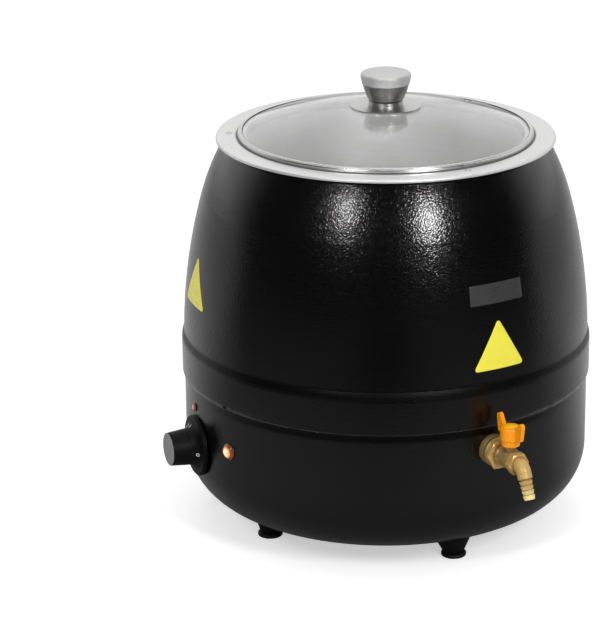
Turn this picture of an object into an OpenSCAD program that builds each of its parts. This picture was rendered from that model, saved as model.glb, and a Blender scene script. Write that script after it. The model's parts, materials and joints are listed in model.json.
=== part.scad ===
// Electric soup kettle with a glass lid, a thermostat and a brass drain tap.
// Z is up, the feet stand on z = 0, and the kettle's axis is x = y = 0.
// The tap points along -Y. An azimuth is measured from the tap, positive towards +X.

/* [Upper shell] */
// Room from the pot's inside to the skirt band, the widest place
jacket_gap = 58.1; // [56:0.1:62]
// Height of the band's lower lip above the floor
band_z = 139.4; // [135:0.1:145]
// Height of the band
band_h = 30; // [26:0.5:34]
// Sheet thickness of the upper shell
shell_wall = 1.5; // [1:0.1:1.8]
// How far the barrel stands in from the band
band_step = 1.8; // [1:0.1:3]
// Radius of the barrel's long side curve
barrel_arc = 482; // [440:1:560]
// Radius of the barrel's shoulder curve
shoulder_arc = 207.5; // [190:0.5:230]
// Slope at which the side curve turns into the shoulder curve
shoulder_angle = 15.4; // [13:0.1:18]
// Radius of the rounded shoulder on top of the band
crown_arc = 20; // [14:0.5:30]
// Radius of the band's lower lip
lip_round = 1.2; // [0.6:0.1:1.5]

/* [Rim and pot] */
// Height of the rim's top face above the floor
rim_z = 347.5; // [345:0.5:350]
// How far the steel rim reaches out past the pot's inside
rim_reach = 25.3; // [24:0.1:28]
// Height of the rim's turned-down edge
rim_lip = 2.4; // [1.8:0.1:3.5]
// Sheet thickness of the rim
rim_t = 1.0; // [0.8:0.1:1.2]
// Inside radius of the pot
pot_r = 120; // [117:0.5:121]
// Sheet thickness of the pot
pot_wall = 1.0; // [0.8:0.1:1.2]
// Height of the pot's floor, inside
pot_floor_z = 96; // [92:0.5:98]
// Radius of the pot's lower corner
pot_corner = 8; // [4:0.5:9]
// Thickness of the gasket under the pot's flange
gasket_t = 0.6; // [0.4:0.1:1]
// Distance of the rim rivets from the pot's inside
rivet_reach = 14; // [12:0.5:14.5]

/* [Lower shell] */
// Sheet thickness of the lower shell
bowl_wall = 1.2; // [1:0.1:1.5]
// Radial clearance between the band and the lower shell
lap_gap = 0.4; // [0.3:0.1:0.8]
// Height of the lower shell's flat underside
base_z = 17.9; // [16:0.1:22]
// Radius of the lower shell's corner curve
corner_arc = 48.6; // [42:0.1:56]
// Radius of the shallow curve under the corner
bottom_arc = 130; // [110:1:140]
// Slope at which the corner curve turns into the shallow curve
corner_angle = 67; // [62:1:72]
// How far the service opening stands in from the flat underside's edge
service_inset = 11.8; // [10:0.1:30]
// Thickness of the bottom cover
cover_t = 1.5; // [1:0.1:2]

/* [Feet] */
// How far the feet stand in from the band
foot_inset = 61.4; // [58:0.1:68]
// Radius of a leg at the pad
foot_low_r = 8.8; // [8:0.1:10]
// Growth of the leg's radius for each millimetre of height
foot_taper = 0.52; // [0.4:0.01:0.6]
// Outward lean of the legs
foot_lean = 8; // [0:1:10]
// Radius of a rubber pad
pad_r = 10.9; // [9.5:0.1:13]
// Height of a rubber pad
pad_h = 3.4; // [3:0.1:4.5]

/* [Lid] */
// How far the lid's steel band reaches out past the pot's inside
lid_reach = 6.5; // [5:0.1:8]
// Height of the glass crown above the glass edge
lid_rise = 22.1; // [18:0.1:26]
// Thickness of the glass
glass_t = 2.5; // [2.2:0.1:3]
// Gap between the lid and the rim
lid_gap = 0.3; // [0.2:0.05:0.5]
// Radius of the steam vent's ring
vent_r = 3.9; // [3:0.1:5]
// How far the vent stands in from the pot's inside
vent_inset = 17; // [12:1:30]
// Azimuth of the vent
vent_azimuth = 106; // [90:1:120]
// Radius of the knob's flange disc
flange_r = 30.4; // [26:0.1:34]
// Height of the knob's top above the flange's underside
knob_h = 32.8; // [30:0.1:37]
// Largest radius of the knob
knob_r = 21.5; // [18:0.1:24]

/* [Thermostat and lamps] */
// Azimuth of the thermostat
dial_azimuth = -97; // [-105:1:-93]
// Height of the thermostat's axis
dial_z = 88.5; // [84:0.5:92]
// Radius of the dial plate
dial_r = 26.6; // [22:0.1:30]
// Radius of the thermostat knob at its base
dial_knob_r = 15.6; // [14:0.1:19]
// Radius of the curve where the knob flares out to the dial
flare_r = 8; // [5:0.1:9]
// Length of the thermostat knob
dial_knob_h = 25.3; // [20:0.1:28]
// Radius of the thermostat's shaft
shaft_r = 3; // [2.5:0.1:3.5]
// Azimuth of the pilot lamp
pilot_azimuth = -78.6; // [-80:0.1:-76]
// Height of the pilot lamp
pilot_z = 101.5; // [98:0.5:106]
// Radius of the pilot lamp's lens
pilot_r = 7.4; // [6:0.1:9]
// Azimuth of the heating lamp
heat_lamp_azimuth = -98.3; // [-100:0.1:-96]
// Height of the heating lamp
heat_lamp_z = 122; // [119:0.5:125]
// Radius of the heating lamp's lens
heat_lamp_r = 4; // [3.5:0.1:5]

/* [Tap] */
// Height of the tap's flow axis
tap_z = 119; // [117:0.5:122]
// Outer radius of the tap's inlet pipe
pipe_r = 9; // [8:0.1:10]
// Radius of the round collar outside the shell
collar_r = 13; // [12:0.1:15]
// Length of the collar
collar_l = 11.3; // [9:0.1:13]
// Width of the tap's lock nut across flats
lock_nut_af = 24; // [23:0.5:26]
// Distance from the shell to the tap's stem
stem_offset = 28; // [27.5:0.5:30]
// Radius of the valve ball
ball_r = 6; // [5.6:0.1:6.2]
// Radius of the ball's bore
port_r = 4; // [3:0.1:4.2]
// Radius of the valve stem
stem_r = 3; // [2.6:0.1:3.2]
// Half the span of the lever's wings
wing_span = 18.5; // [16:0.5:26]
// Thickness of the lever's wings
wing_t = 3.4; // [2.6:0.1:5]
// Angle through which the outlet elbow turns down
elbow_angle = 65; // [45:1:80]
// Bend radius of the outlet elbow
elbow_bend = 8; // [7.5:0.1:12]
// Outer radius of the outlet elbow
elbow_r = 6.2; // [5.8:0.1:7]
// Length of the hose barb after the bend
barb_l = 22.5; // [20:0.5:26]
// Largest radius of the hose barb
barb_r = 5.7; // [5.4:0.1:6]

/* [Inside] */
// Thickness of the heater plate
plate_t = 4; // [3:0.5:5]
// How far the heating element's ring stands in from the pot's inside
element_inset = 50; // [40:1:60]
// Radius of the heating element's tube
element_r = 4.2; // [3.5:0.1:5]
// Height of the cable gland's axis
gland_z = 88; // [84:0.5:95]
// Radius of the cable passage in the gland
gland_bore_r = 4; // [3:0.1:4.5]

/* [Hidden] */
$fn = 96;

// Facets of a wide circle
wide = 240;
// Play of a shaft that turns in its bore
running_gap = 0.05;
// Play between pieces that are screwed, pressed or laid together
seat_gap = 0.05;
// Overrun of a cut past the face that it opens
cut = 1;
// Small shift that lets two curves cross where they would only touch
curve_nudge = 0.01;

// Room for the soles' recess under the screw heads
pad_recess = 2.4;
screw_head_r = 4.8;
foot_screw_r = 2.9;
foot_screw_l = 26;
foot_bore_r = foot_screw_r + 0.3;
foot_nut_af = 10;
foot_nut_h = 4;
leg_h = 24;
cover_screw_r = 1.5;
cover_screw_l = 7;
cover_dish = 3;
shaft_nut_af = 13;
shaft_nut_h = 2.4;
rod_nut_h = 6.5;
thermostat_side = 34;
thermostat_depth = 28;
bulb_r = 3;
capillary_r = 1;
terminal_w = 46;
terminal_d = 18;
terminal_h = 15;
cutout_r = 9;
cutout_h = 9;
lead_l = 26;
clamp_w = 16;
clamp_t = 2;
washer_r = 9.5;
washer_t = 1.5;
gland_l = 30;
gland_flange_l = 5;
gland_cap_r = 9.4;
lamp_l = 28;
small_lamp_l = 24;

band_r = pot_r + jacket_gap;
rim_r = pot_r + rim_reach;
rivet_circle = pot_r + rivet_reach;
lid_r = pot_r + lid_reach;
vent_circle = pot_r - vent_inset;
element_circle = pot_r - element_inset;
foot_circle = band_r - foot_inset;
bowl_r = band_r - shell_wall - lap_gap;
barrel_r = band_r - band_step;
lap_z = band_z + band_h - 4;
barrel_z = band_z + band_h - 3;
shell_top_z = rim_z - rim_t - pot_wall - gasket_t;
shoulder_turn_z = barrel_z + barrel_arc * sin(shoulder_angle);
corner_z = base_z + bottom_arc - (bottom_arc - corner_arc) * sin(corner_angle);
bottom_arc_x = bowl_r - corner_arc - (bottom_arc - corner_arc) * cos(corner_angle);
service_r = bottom_arc_x - service_inset;
rim_hole_r = pot_r + pot_wall + 0.8;
pot_flange_r = rivet_circle + 2;
rivet_r = 1.5;

lid_z = rim_z + lid_gap;
glass_r = lid_r - 2;
glass_edge_z = lid_z + 0.4 + glass_t;
glass_arc = (glass_r * glass_r + lid_rise * lid_rise) / (2 * lid_rise);
glass_centre_z = glass_edge_z + lid_rise - glass_arc;
flange_z = glass_centre_z + sqrt(glass_arc * glass_arc - flange_r * flange_r);
flange_crown_arc = 200;
flange_crown_z = flange_z + 1.2 + flange_crown_arc
    - sqrt(flange_crown_arc * flange_crown_arc - flange_r * flange_r);
neck_r = 14.6;
seal_z = flange_z + 5.5;
knob_low_z = seal_z + 1.1;
knob_seam_z = flange_z + knob_h * 0.615;
knob_top_z = flange_z + knob_h;
knob_screw_r = 2.5;

dial_t = 1;
bushing_r = 5;
shaft_start = bowl_r - thermostat_depth + 8;
lamp_body_r = 5;
small_lamp_body_r = 3;
gland_r = 7.5;
gland_azimuth = 180;

nut_af = 24;
tap_face = bowl_r + seat_gap;
lock_nut_l = 4.2;
valve_at = bowl_r + stem_offset;
chamber_r = ball_r + 0.5;
slot_floor = port_r + 0.7;
valve_r = chamber_r + 1.9;
valve_start = tap_face + collar_l + lock_nut_l + 2 * seat_gap;
cap_start = valve_at + ball_r + 0.4;
cap_l = 7;
cap_af = 17;
elbow_start = cap_start + cap_l + seat_gap;
boss_top = 12.6;
hub_low = boss_top + 0.4;
hub_top = hub_low + 16.2;
lever_cap_r = 6.2;
pipe_end = pot_r - 9;

plate_z = pot_floor_z - pot_wall - plate_t;
element_z = plate_z - element_r - seat_gap;
clamp_z = element_z - element_r - seat_gap;
rod_r = 4;
cover_r = service_r + 9;

// Places its children on the wall: their +Z points outward, their +Y points up
module on_wall(azimuth, z) {
    translate([0, 0, z])
        rotate([0, 0, azimuth])
            rotate([90, 0, 0])
                children();
}

// Repeats its children at count even steps about the axis
module around(count, radius, start = 0) {
    for (i = [0 : count - 1])
        rotate([0, 0, start + i * 360 / count])
            translate([0, -radius, 0])
                children();
}

// A ring between two radii
module ring(outer, inner, height) {
    difference() {
        cylinder(r = outer, h = height);
        translate([0, 0, -cut])
            cylinder(r = inner, h = height + 2 * cut);
    }
}

// A hexagonal nut with chamfered corners and a plain bore
module hex_nut(af, bore, height) {
    corner = af / sqrt(3);
    chamfer = height * 0.16;
    difference() {
        intersection() {
            cylinder(r = corner, h = height, $fn = 6);
            union() {
                translate([0, 0, chamfer])
                    cylinder(r = corner * 1.01, h = height - 2 * chamfer);
                cylinder(r1 = af / 2, r2 = af / 2 + 1.75 * chamfer, h = chamfer + 0.01);
                translate([0, 0, height - chamfer - 0.01])
                    cylinder(r1 = af / 2 + 1.75 * chamfer, r2 = af / 2, h = chamfer + 0.01);
            }
        }
        translate([0, 0, -cut])
            cylinder(r = bore, h = height + 2 * cut);
    }
}

// A screw with a low domed head under z = 0 and its shank above
module dome_screw(head_r, head_h, shank, length) {
    dome = (head_r * head_r + head_h * head_h) / (2 * head_h);
    intersection() {
        translate([0, 0, dome - head_h])
            sphere(r = dome);
        translate([0, 0, -head_h])
            cylinder(r = head_r + 1, h = head_h);
    }
    translate([0, 0, -0.01])
        cylinder(r = shank, h = length);
}

// Half section of the barrel, pulled in by a wall thickness
module barrel_section(inset) {
    turn_x = barrel_r - barrel_arc + (barrel_arc - shoulder_arc) * cos(shoulder_angle);
    turn_z = barrel_z + (barrel_arc - shoulder_arc) * sin(shoulder_angle);
    difference() {
        intersection() {
            translate([barrel_r - barrel_arc, barrel_z])
                circle(r = barrel_arc - inset, $fn = 4 * wide);
            translate([0, barrel_z - cut])
                square([band_r, shell_top_z - inset - barrel_z + cut]);
        }
        difference() {
            translate([0, shoulder_turn_z])
                square([band_r, shell_top_z - shoulder_turn_z + cut]);
            translate([turn_x + curve_nudge, turn_z])
                circle(r = shoulder_arc - inset, $fn = 2 * wide);
        }
    }
}

// Half section of the skirt band with a rounded shoulder and a rounded lip
module band_section() {
    shoulder_z = band_z + band_h - 1.4;
    reach = crown_arc - 2 * band_step;
    shoulder_h = sqrt(crown_arc * crown_arc - reach * reach);
    translate([0, band_z + lip_round])
        square([band_r, shoulder_z - band_z - lip_round]);
    translate([0, band_z])
        square([band_r - lip_round, lip_round + 1]);
    translate([band_r - lip_round, band_z + lip_round])
        circle(r = lip_round);
    intersection() {
        translate([band_r - crown_arc, shoulder_z])
            circle(r = crown_arc, $fn = wide);
        translate([0, shoulder_z])
            square([band_r + 1, shoulder_h]);
    }
}

// Half section of the lower shell's outside, pulled in by a wall thickness
module bowl_section(inset, top) {
    corner_x = bowl_r - corner_arc;
    turn_x = corner_x + corner_arc * cos(corner_angle);
    translate([0, corner_z])
        square([bowl_r - inset, top - corner_z]);
    translate([corner_x, corner_z])
        circle(r = corner_arc - inset, $fn = wide);
    translate([0, base_z + inset])
        square([bottom_arc_x, corner_z - base_z]);
    intersection() {
        translate([bottom_arc_x - curve_nudge, base_z + bottom_arc])
            circle(r = bottom_arc - inset, $fn = 2 * wide);
        translate([bottom_arc_x - curve_nudge, base_z])
            square([turn_x - bottom_arc_x + curve_nudge, corner_z - base_z + cut]);
    }
}

// Half section of the glass, grown by a gap on every side
module glass_section(gap) {
    difference() {
        intersection() {
            translate([0, glass_centre_z])
                circle(r = glass_arc + gap, $fn = 4 * wide);
            translate([0, glass_edge_z - glass_t - 3])
                square([glass_r + gap, lid_rise + glass_t + 10]);
        }
        translate([0, glass_centre_z])
            circle(r = glass_arc - glass_t - gap, $fn = 4 * wide);
    }
}

module upper_shell() {
    color([0.05, 0.05, 0.05])
        difference() {
            rotate_extrude($fn = wide)
                difference() {
                    union() {
                        barrel_section(0);
                        band_section();
                    }
                    difference() {
                        union() {
                            translate([0, cut])
                                barrel_section(shell_wall);
                            translate([0, barrel_z - cut])
                                square([barrel_r - shell_wall, 2 * cut + 1]);
                            translate([0, lap_z])
                                square([barrel_r - shell_wall, barrel_z - lap_z]);
                            translate([0, band_z - cut])
                                square([band_r - shell_wall, lap_z - band_z + cut]);
                        }
                        translate([0, shell_top_z - shell_wall])
                            square([band_r, 2 * cut]);
                    }
                    translate([0, shell_top_z - shell_wall - cut])
                        square([rim_hole_r + 1, shell_wall + 2 * cut]);
                }
            around(3, rivet_circle)
                translate([0, 0, shell_top_z - 5])
                    cylinder(r = rivet_r + seat_gap, h = 10);
        }
}

module lower_shell() {
    color([0.05, 0.05, 0.05])
        difference() {
            rotate_extrude($fn = wide)
                difference() {
                    bowl_section(0, lap_z);
                    bowl_section(bowl_wall, lap_z + cut);
                    translate([0, base_z - cut])
                        square([service_r, bowl_wall + 2 * cut]);
                }
            on_wall(0, tap_z)
                cylinder(r = pipe_r + 0.2, h = bowl_r + 10);
            on_wall(dial_azimuth, dial_z)
                cylinder(r = bushing_r + 0.2, h = bowl_r + 10);
            on_wall(pilot_azimuth, pilot_z)
                cylinder(r = lamp_body_r + 0.2, h = bowl_r + 10);
            on_wall(heat_lamp_azimuth, heat_lamp_z)
                cylinder(r = small_lamp_body_r + 0.2, h = bowl_r + 10);
            on_wall(gland_azimuth, gland_z)
                cylinder(r = gland_r + 0.2, h = bowl_r + 10);
            around(4, foot_circle)
                cylinder(r = foot_bore_r, h = corner_z);
            around(4, service_r + 4.5, 45)
                cylinder(r = cover_screw_r + 0.2, h = corner_z);
        }
}

module bottom_cover() {
    slot_pitch = service_r / 7;
    color([0.1, 0.1, 0.1])
        translate([0, 0, base_z - cover_t - seat_gap])
            difference() {
                union() {
                    cylinder(r = cover_r, h = cover_t);
                    cylinder(r1 = service_r - 12, r2 = service_r - 8, h = cover_dish + cover_t);
                }
                translate([0, 0, -cut])
                    cylinder(r = service_r - 14, h = cut + cover_dish);
                cylinder(r = rod_r + 0.3, h = 2 * cover_dish + cover_t);
                around(4, service_r + 4.5, 45)
                    translate([0, 0, -cut])
                        cylinder(r = cover_screw_r + 0.2, h = 2 * cut + cover_t);
                for (i = [-4 : 4])
                    translate([i * slot_pitch - slot_pitch / 6, service_r / 4, 0])
                        cube([slot_pitch / 3, service_r / 2.8, 2 * cover_dish + cover_t]);
            }
}

module bottom_cover_screws() {
    color("silver")
        around(4, service_r + 4.5, 45)
            translate([0, 0, base_z - cover_t - 2 * seat_gap])
                dome_screw(2 * cover_screw_r, 1.6, cover_screw_r, cover_screw_l);
}

module inner_pot() {
    flange_z = shell_top_z + gasket_t;
    color([0.75, 0.75, 0.76])
        difference() {
            rotate_extrude($fn = wide)
                difference() {
                    union() {
                        pot_section(pot_wall, flange_z + pot_wall);
                        translate([0, flange_z])
                            square([pot_flange_r, pot_wall]);
                    }
                    pot_section(0, flange_z + pot_wall + cut);
                }
            on_wall(0, tap_z)
                translate([0, 0, pot_r - 20])
                    cylinder(r = pipe_r + 0.2, h = 40);
            around(3, rivet_circle)
                translate([0, 0, flange_z - cut])
                    cylinder(r = rivet_r + seat_gap, h = 2 * cut + pot_wall);
        }
}

// Half section of the pot's hollow, grown by a wall thickness
module pot_section(grow, top) {
    translate([0, pot_floor_z + pot_corner])
        square([pot_r + grow, top - pot_floor_z - pot_corner]);
    translate([0, pot_floor_z - grow])
        square([pot_r - pot_corner, pot_corner + grow + 0.01]);
    intersection() {
        translate([pot_r - pot_corner, pot_floor_z + pot_corner])
            circle(r = pot_corner + grow);
        translate([pot_r - pot_corner - 0.01, pot_floor_z - grow])
            square([pot_corner + grow + 0.02, pot_corner + grow + 0.01]);
    }
}

module pot_gasket() {
    color([0.8, 0.8, 0.78])
        translate([0, 0, shell_top_z])
            difference() {
                ring(pot_flange_r, rim_hole_r + 1, gasket_t, $fn = wide);
                around(3, rivet_circle)
                    translate([0, 0, -cut])
                        cylinder(r = rivet_r + seat_gap, h = 3 * cut);
            }
}

// Half section of the rim's outside, pulled in by a sheet thickness
module rim_section(inset) {
    edge_round = 1.5;
    translate([0, rim_z - rim_lip - inset * 2])
        square([rim_r - inset, rim_lip - edge_round + inset * 2]);
    translate([0, rim_z - rim_lip - inset * 2])
        square([rim_r - edge_round, rim_lip + inset]);
    translate([rim_r - edge_round, rim_z - edge_round])
        circle(r = edge_round - inset);
}

module rim_ring() {
    color([0.8, 0.8, 0.8])
        difference() {
            rotate_extrude($fn = wide)
                difference() {
                    rim_section(0);
                    rim_section(rim_t);
                    translate([0, rim_z - 2 * rim_lip])
                        square([rim_hole_r, 3 * rim_lip]);
                }
            around(3, rivet_circle)
                translate([0, 0, rim_z - rim_t - cut])
                    cylinder(r = rivet_r + seat_gap, h = rim_t + 2 * cut);
        }
}

module rim_rivets() {
    head_r = 3;
    head_h = 1.1;
    grip = rim_z - shell_top_z + shell_wall + 2 * seat_gap;
    color([0.7, 0.7, 0.7])
        around(3, rivet_circle)
            translate([0, 0, rim_z + seat_gap])
                mirror([0, 0, 1]) {
                    dome_screw(head_r, head_h, rivet_r, grip + 0.5);
                    translate([0, 0, grip])
                        cylinder(r = head_r - 0.6, h = head_h);
                }
}

module foot_legs() {
    sunk = 3;
    color([0.06, 0.06, 0.06])
        difference() {
            around(4, foot_circle)
                difference() {
                    intersection() {
                        translate([0, 0, pad_h])
                            rotate([-foot_lean, 0, 0])
                                translate([0, 0, -sunk])
                                    cylinder(r1 = foot_low_r - sunk * foot_taper,
                                             r2 = foot_low_r + 1.5 * leg_h * foot_taper,
                                             h = 1.5 * leg_h + sunk);
                        translate([-leg_h, -leg_h, pad_h + seat_gap])
                            cube([2 * leg_h, 2 * leg_h, leg_h]);
                    }
                    cylinder(r = foot_bore_r, h = 2 * leg_h);
                }
            rotate_extrude($fn = wide)
                bowl_section(-seat_gap, corner_z + leg_h);
        }
}

module foot_pads() {
    edge_round = 1.2;
    color([0.03, 0.03, 0.03])
        around(4, foot_circle)
            rotate_extrude()
                difference() {
                    union() {
                        square([pad_r - edge_round, pad_h]);
                        translate([0, edge_round])
                            square([pad_r, pad_h - 2 * edge_round]);
                        translate([pad_r - edge_round, edge_round])
                            circle(r = edge_round);
                        translate([pad_r - edge_round, pad_h - edge_round])
                            circle(r = edge_round);
                    }
                    translate([0, -cut])
                        square([screw_head_r + 0.6, cut + pad_recess]);
                    translate([0, -cut])
                        square([foot_bore_r, pad_h + 2 * cut]);
                }
}

module foot_screws() {
    color("silver")
        around(4, foot_circle)
            translate([0, 0, pad_recess - seat_gap])
                dome_screw(screw_head_r, 1.6, foot_screw_r, foot_screw_l);
}

module foot_nuts() {
    inner_arc = bottom_arc - bowl_wall;
    reach = max(0, foot_circle + 0.64 * foot_nut_af - bottom_arc_x);
    nut_z = base_z + bottom_arc - sqrt(inner_arc * inner_arc - reach * reach);
    color("silver")
        around(4, foot_circle)
            translate([0, 0, nut_z + seat_gap])
                hex_nut(foot_nut_af, foot_screw_r + seat_gap, foot_nut_h);
}

// Places its children on the glass at the vent, with their +Z square to the glass
module at_vent() {
    rotate([0, 0, vent_azimuth])
        translate([0, 0, glass_centre_z])
            rotate([asin(vent_circle / glass_arc), 0, 0])
                translate([0, 0, glass_arc])
                    children();
}

module lid_glass() {
    color([0.6, 0.65, 0.65, 0.5])
        difference() {
            rotate_extrude($fn = wide)
                difference() {
                    glass_section(0);
                    translate([-1, glass_edge_z])
                        square([5, lid_rise + 10]);
                }
            at_vent()
                translate([0, 0, -2 * glass_t])
                    cylinder(r = vent_r - 1.5, h = 4 * glass_t);
        }
}

module lid_band() {
    low_round = 0.5;
    fold_round = 1.1;
    skirt_r = pot_r - 0.8;
    skirt_h = 6.5;
    sheet = 0.8;
    lip_r = glass_r - 1.8;
    top_z = glass_edge_z + 0.3;
    color([0.78, 0.78, 0.78])
        rotate_extrude($fn = wide)
            difference() {
                union() {
                    translate([skirt_r - sheet, lid_z])
                        square([lid_r - skirt_r + sheet - fold_round, 0.35]);
                    translate([glass_r - 0.5, lid_z])
                        square([lid_r - glass_r + 0.5 - fold_round, top_z - lid_z]);
                    translate([glass_r - 0.5, lid_z + low_round])
                        square([lid_r - glass_r + 0.5, top_z - lid_z - fold_round - low_round]);
                    translate([lid_r - fold_round, lid_z])
                        square([fold_round - low_round, low_round + 0.1]);
                    translate([lid_r - low_round, lid_z + low_round])
                        circle(r = low_round);
                    translate([lid_r - fold_round, top_z - fold_round])
                        circle(r = fold_round);
                    translate([skirt_r - sheet, lid_z - skirt_h])
                        square([sheet, skirt_h + 0.1]);
                    intersection() {
                        translate([0, glass_centre_z])
                            circle(r = glass_arc + 0.6, $fn = 4 * wide);
                        translate([lip_r, glass_edge_z - 0.5])
                            square([glass_r + 0.4 - lip_r, 4]);
                    }
                }
                glass_section(seat_gap);
            }
}

module lid_vent() {
    tube_r = vent_r - 1.6;
    color([0.7, 0.7, 0.7])
        at_vent()
            rotate_extrude()
                difference() {
                    union() {
                        translate([0, -glass_t - 1.2])
                            square([tube_r, glass_t + 1.7]);
                        translate([0, seat_gap + 0.04])
                            square([vent_r - 0.4, 0.8]);
                        translate([vent_r - 0.4, seat_gap + 0.44])
                            circle(r = 0.4);
                        translate([0, -glass_t - 1.2])
                            square([vent_r - 0.5, 1]);
                    }
                    translate([0, -2 * glass_t])
                        square([tube_r - 1.1, 4 * glass_t]);
                }
}

module knob_flange() {
    color([0.8, 0.8, 0.8])
        rotate_extrude($fn = wide)
            difference() {
                intersection() {
                    translate([0, flange_crown_z - flange_crown_arc])
                        circle(r = flange_crown_arc, $fn = 2 * wide);
                    translate([0, flange_z - 1])
                        square([flange_r, 10]);
                }
                translate([0, glass_centre_z])
                    circle(r = glass_arc + seat_gap, $fn = 4 * wide);
                translate([0, flange_z - 2])
                    square([knob_screw_r + 0.2, 20]);
            }
}

// The turned spacer between the flange and the knob
module knob_neck() {
    color([0.75, 0.75, 0.75])
        rotate_extrude()
            difference() {
                translate([knob_screw_r + 0.1, flange_z])
                    square([neck_r - knob_screw_r - 0.1, seal_z - flange_z]);
                translate([0, flange_crown_z - flange_crown_arc])
                    circle(r = flange_crown_arc + seat_gap, $fn = 2 * wide);
            }
}

module knob_seal_ring() {
    color([0.03, 0.03, 0.03])
        translate([0, 0, seal_z + seat_gap])
            ring(neck_r - 0.2, knob_screw_r + 0.1, knob_low_z - seal_z - 2 * seat_gap);
}

module lid_knob() {
    height = knob_seam_z - knob_low_z - 0.5;
    side_arc = 42;
    low = [neck_r + 0.4, 0];
    high = [knob_r - 1.8, height];
    chord = norm(high - low);
    way = (high - low) / chord;
    centre = (low + high) / 2
        - [way[1], -way[0]] * sqrt(side_arc * side_arc - chord * chord / 4);
    color([0.62, 0.62, 0.62])
        translate([0, 0, knob_low_z])
            difference() {
                rotate_extrude()
                    intersection() {
                        square([knob_r, height]);
                        translate(centre)
                            circle(r = side_arc, $fn = wide);
                    }
                translate([0, 0, -cut])
                    cylinder(r = knob_screw_r, h = height - 2);
            }
}

module lid_knob_cap() {
    edge_round = 2.2;
    crown_arc = 62;
    side_h = 5.6;
    low_r = knob_r - 1.2;
    crown_z = knob_top_z - crown_arc;
    shoulder_x = knob_r - edge_round;
    shoulder_z = crown_z + sqrt((crown_arc - edge_round) * (crown_arc - edge_round)
                                - shoulder_x * shoulder_x);
    color([0.8, 0.8, 0.8])
        rotate_extrude($fn = 144)
            intersection() {
                union() {
                    polygon([[0, knob_seam_z], [low_r, knob_seam_z], [knob_r, knob_seam_z + side_h],
                             [knob_r, shoulder_z], [0, shoulder_z]]);
                    translate([shoulder_x, shoulder_z])
                        circle(r = edge_round);
                    intersection() {
                        translate([0, crown_z])
                            circle(r = crown_arc, $fn = wide);
                        translate([0, shoulder_z - 0.01])
                            square([shoulder_x * crown_arc / (crown_arc - edge_round), 20]);
                    }
                }
                translate([0, knob_seam_z])
                    square([knob_r + 1, 30]);
            }
}

module knob_washer() {
    under_z = glass_centre_z + glass_arc - glass_t;
    color([0.3, 0.3, 0.3])
        translate([0, 0, under_z - washer_t - 0.2])
            ring(washer_r, knob_screw_r + 0.2, washer_t);
}

module knob_screw() {
    under_z = glass_centre_z + glass_arc - glass_t;
    length = knob_seam_z - under_z + washer_t - 4.5;
    color([0.7, 0.7, 0.7])
        translate([0, 0, under_z - washer_t - 0.2 - seat_gap])
            dome_screw(2.6 * knob_screw_r, 3, knob_screw_r - seat_gap, length);
}

module dial_plate() {
    bevel = 0.4;
    color([0.06, 0.06, 0.06])
        on_wall(dial_azimuth, dial_z)
            translate([0, 0, bowl_r + seat_gap])
                difference() {
                    union() {
                        cylinder(r = dial_r, h = dial_t - bevel);
                        translate([0, 0, dial_t - bevel - 0.01])
                            cylinder(r1 = dial_r, r2 = dial_r - bevel, h = bevel + 0.01);
                    }
                    translate([0, 0, -cut])
                        cylinder(r = bushing_r + seat_gap, h = dial_t + 2 * cut);
                }
}

module thermostat_knob() {
    face_r = dial_knob_r - 1.3;
    edge_round = 1;
    base = bowl_r + seat_gap + dial_t + 0.4;
    skirt_r = dial_r - 0.3;
    flare_x = dial_knob_r + flare_r;
    flare_z = flare_r + 2;
    color([0.05, 0.05, 0.05])
        on_wall(dial_azimuth, dial_z)
            translate([0, 0, base])
                difference() {
                    rotate_extrude($fn = 144)
                        difference() {
                            union() {
                                difference() {
                                    polygon([[0, 0], [skirt_r, 0], [skirt_r, 0.9],
                                             [skirt_r - 1, 1.8], [flare_x, 2.2],
                                             [flare_x, flare_z], [0, flare_z]]);
                                    translate([flare_x, flare_z])
                                        circle(r = flare_r, $fn = 144);
                                }
                                polygon([[0, 1], [dial_knob_r + 0.15, 1],
                                         [dial_knob_r + 0.15, flare_z],
                                         [face_r, dial_knob_h - edge_round],
                                         [face_r - edge_round, dial_knob_h], [0, dial_knob_h]]);
                                translate([face_r - edge_round, dial_knob_h - edge_round])
                                    circle(r = edge_round);
                            }
                            translate([0, -cut])
                                square([9.5, cut + 4.2]);
                        }
                    translate([0, 0, -cut])
                        cylinder(r = shaft_r, h = dial_knob_h - 4);
                }
}

module thermostat_shaft() {
    finish = bowl_r + dial_t + dial_knob_h - 5;
    color([0.7, 0.7, 0.7])
        on_wall(dial_azimuth, dial_z)
            translate([0, 0, shaft_start])
                cylinder(r = shaft_r - running_gap, h = finish - shaft_start);
}

module thermostat_body() {
    half = thermostat_side / 2;
    inside = bowl_r - bowl_wall;
    front = sqrt(inside * inside - half * half) - seat_gap;
    tab_l = thermostat_depth / 3.5;
    color([0.75, 0.72, 0.65])
        on_wall(dial_azimuth, dial_z)
            difference() {
                union() {
                    translate([-half, -half, front - thermostat_depth])
                        cube([thermostat_side, thermostat_side, thermostat_depth]);
                    translate([0, 0, front - 1])
                        cylinder(r = bushing_r, h = bowl_r + dial_t + shaft_nut_h - front + 1);
                    for (x = [-half / 2, half / 2])
                        translate([x - 3, -0.4, front - thermostat_depth - tab_l])
                            cube([6, 0.8, tab_l + 0.01]);
                }
                translate([0, 0, shaft_start - 1])
                    cylinder(r = shaft_r, h = 40);
            }
}

module thermostat_nut() {
    color("silver")
        on_wall(dial_azimuth, dial_z)
            translate([0, 0, bowl_r + dial_t + 2 * seat_gap])
                hex_nut(shaft_nut_af, bushing_r + seat_gap, shaft_nut_h);
}

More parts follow.
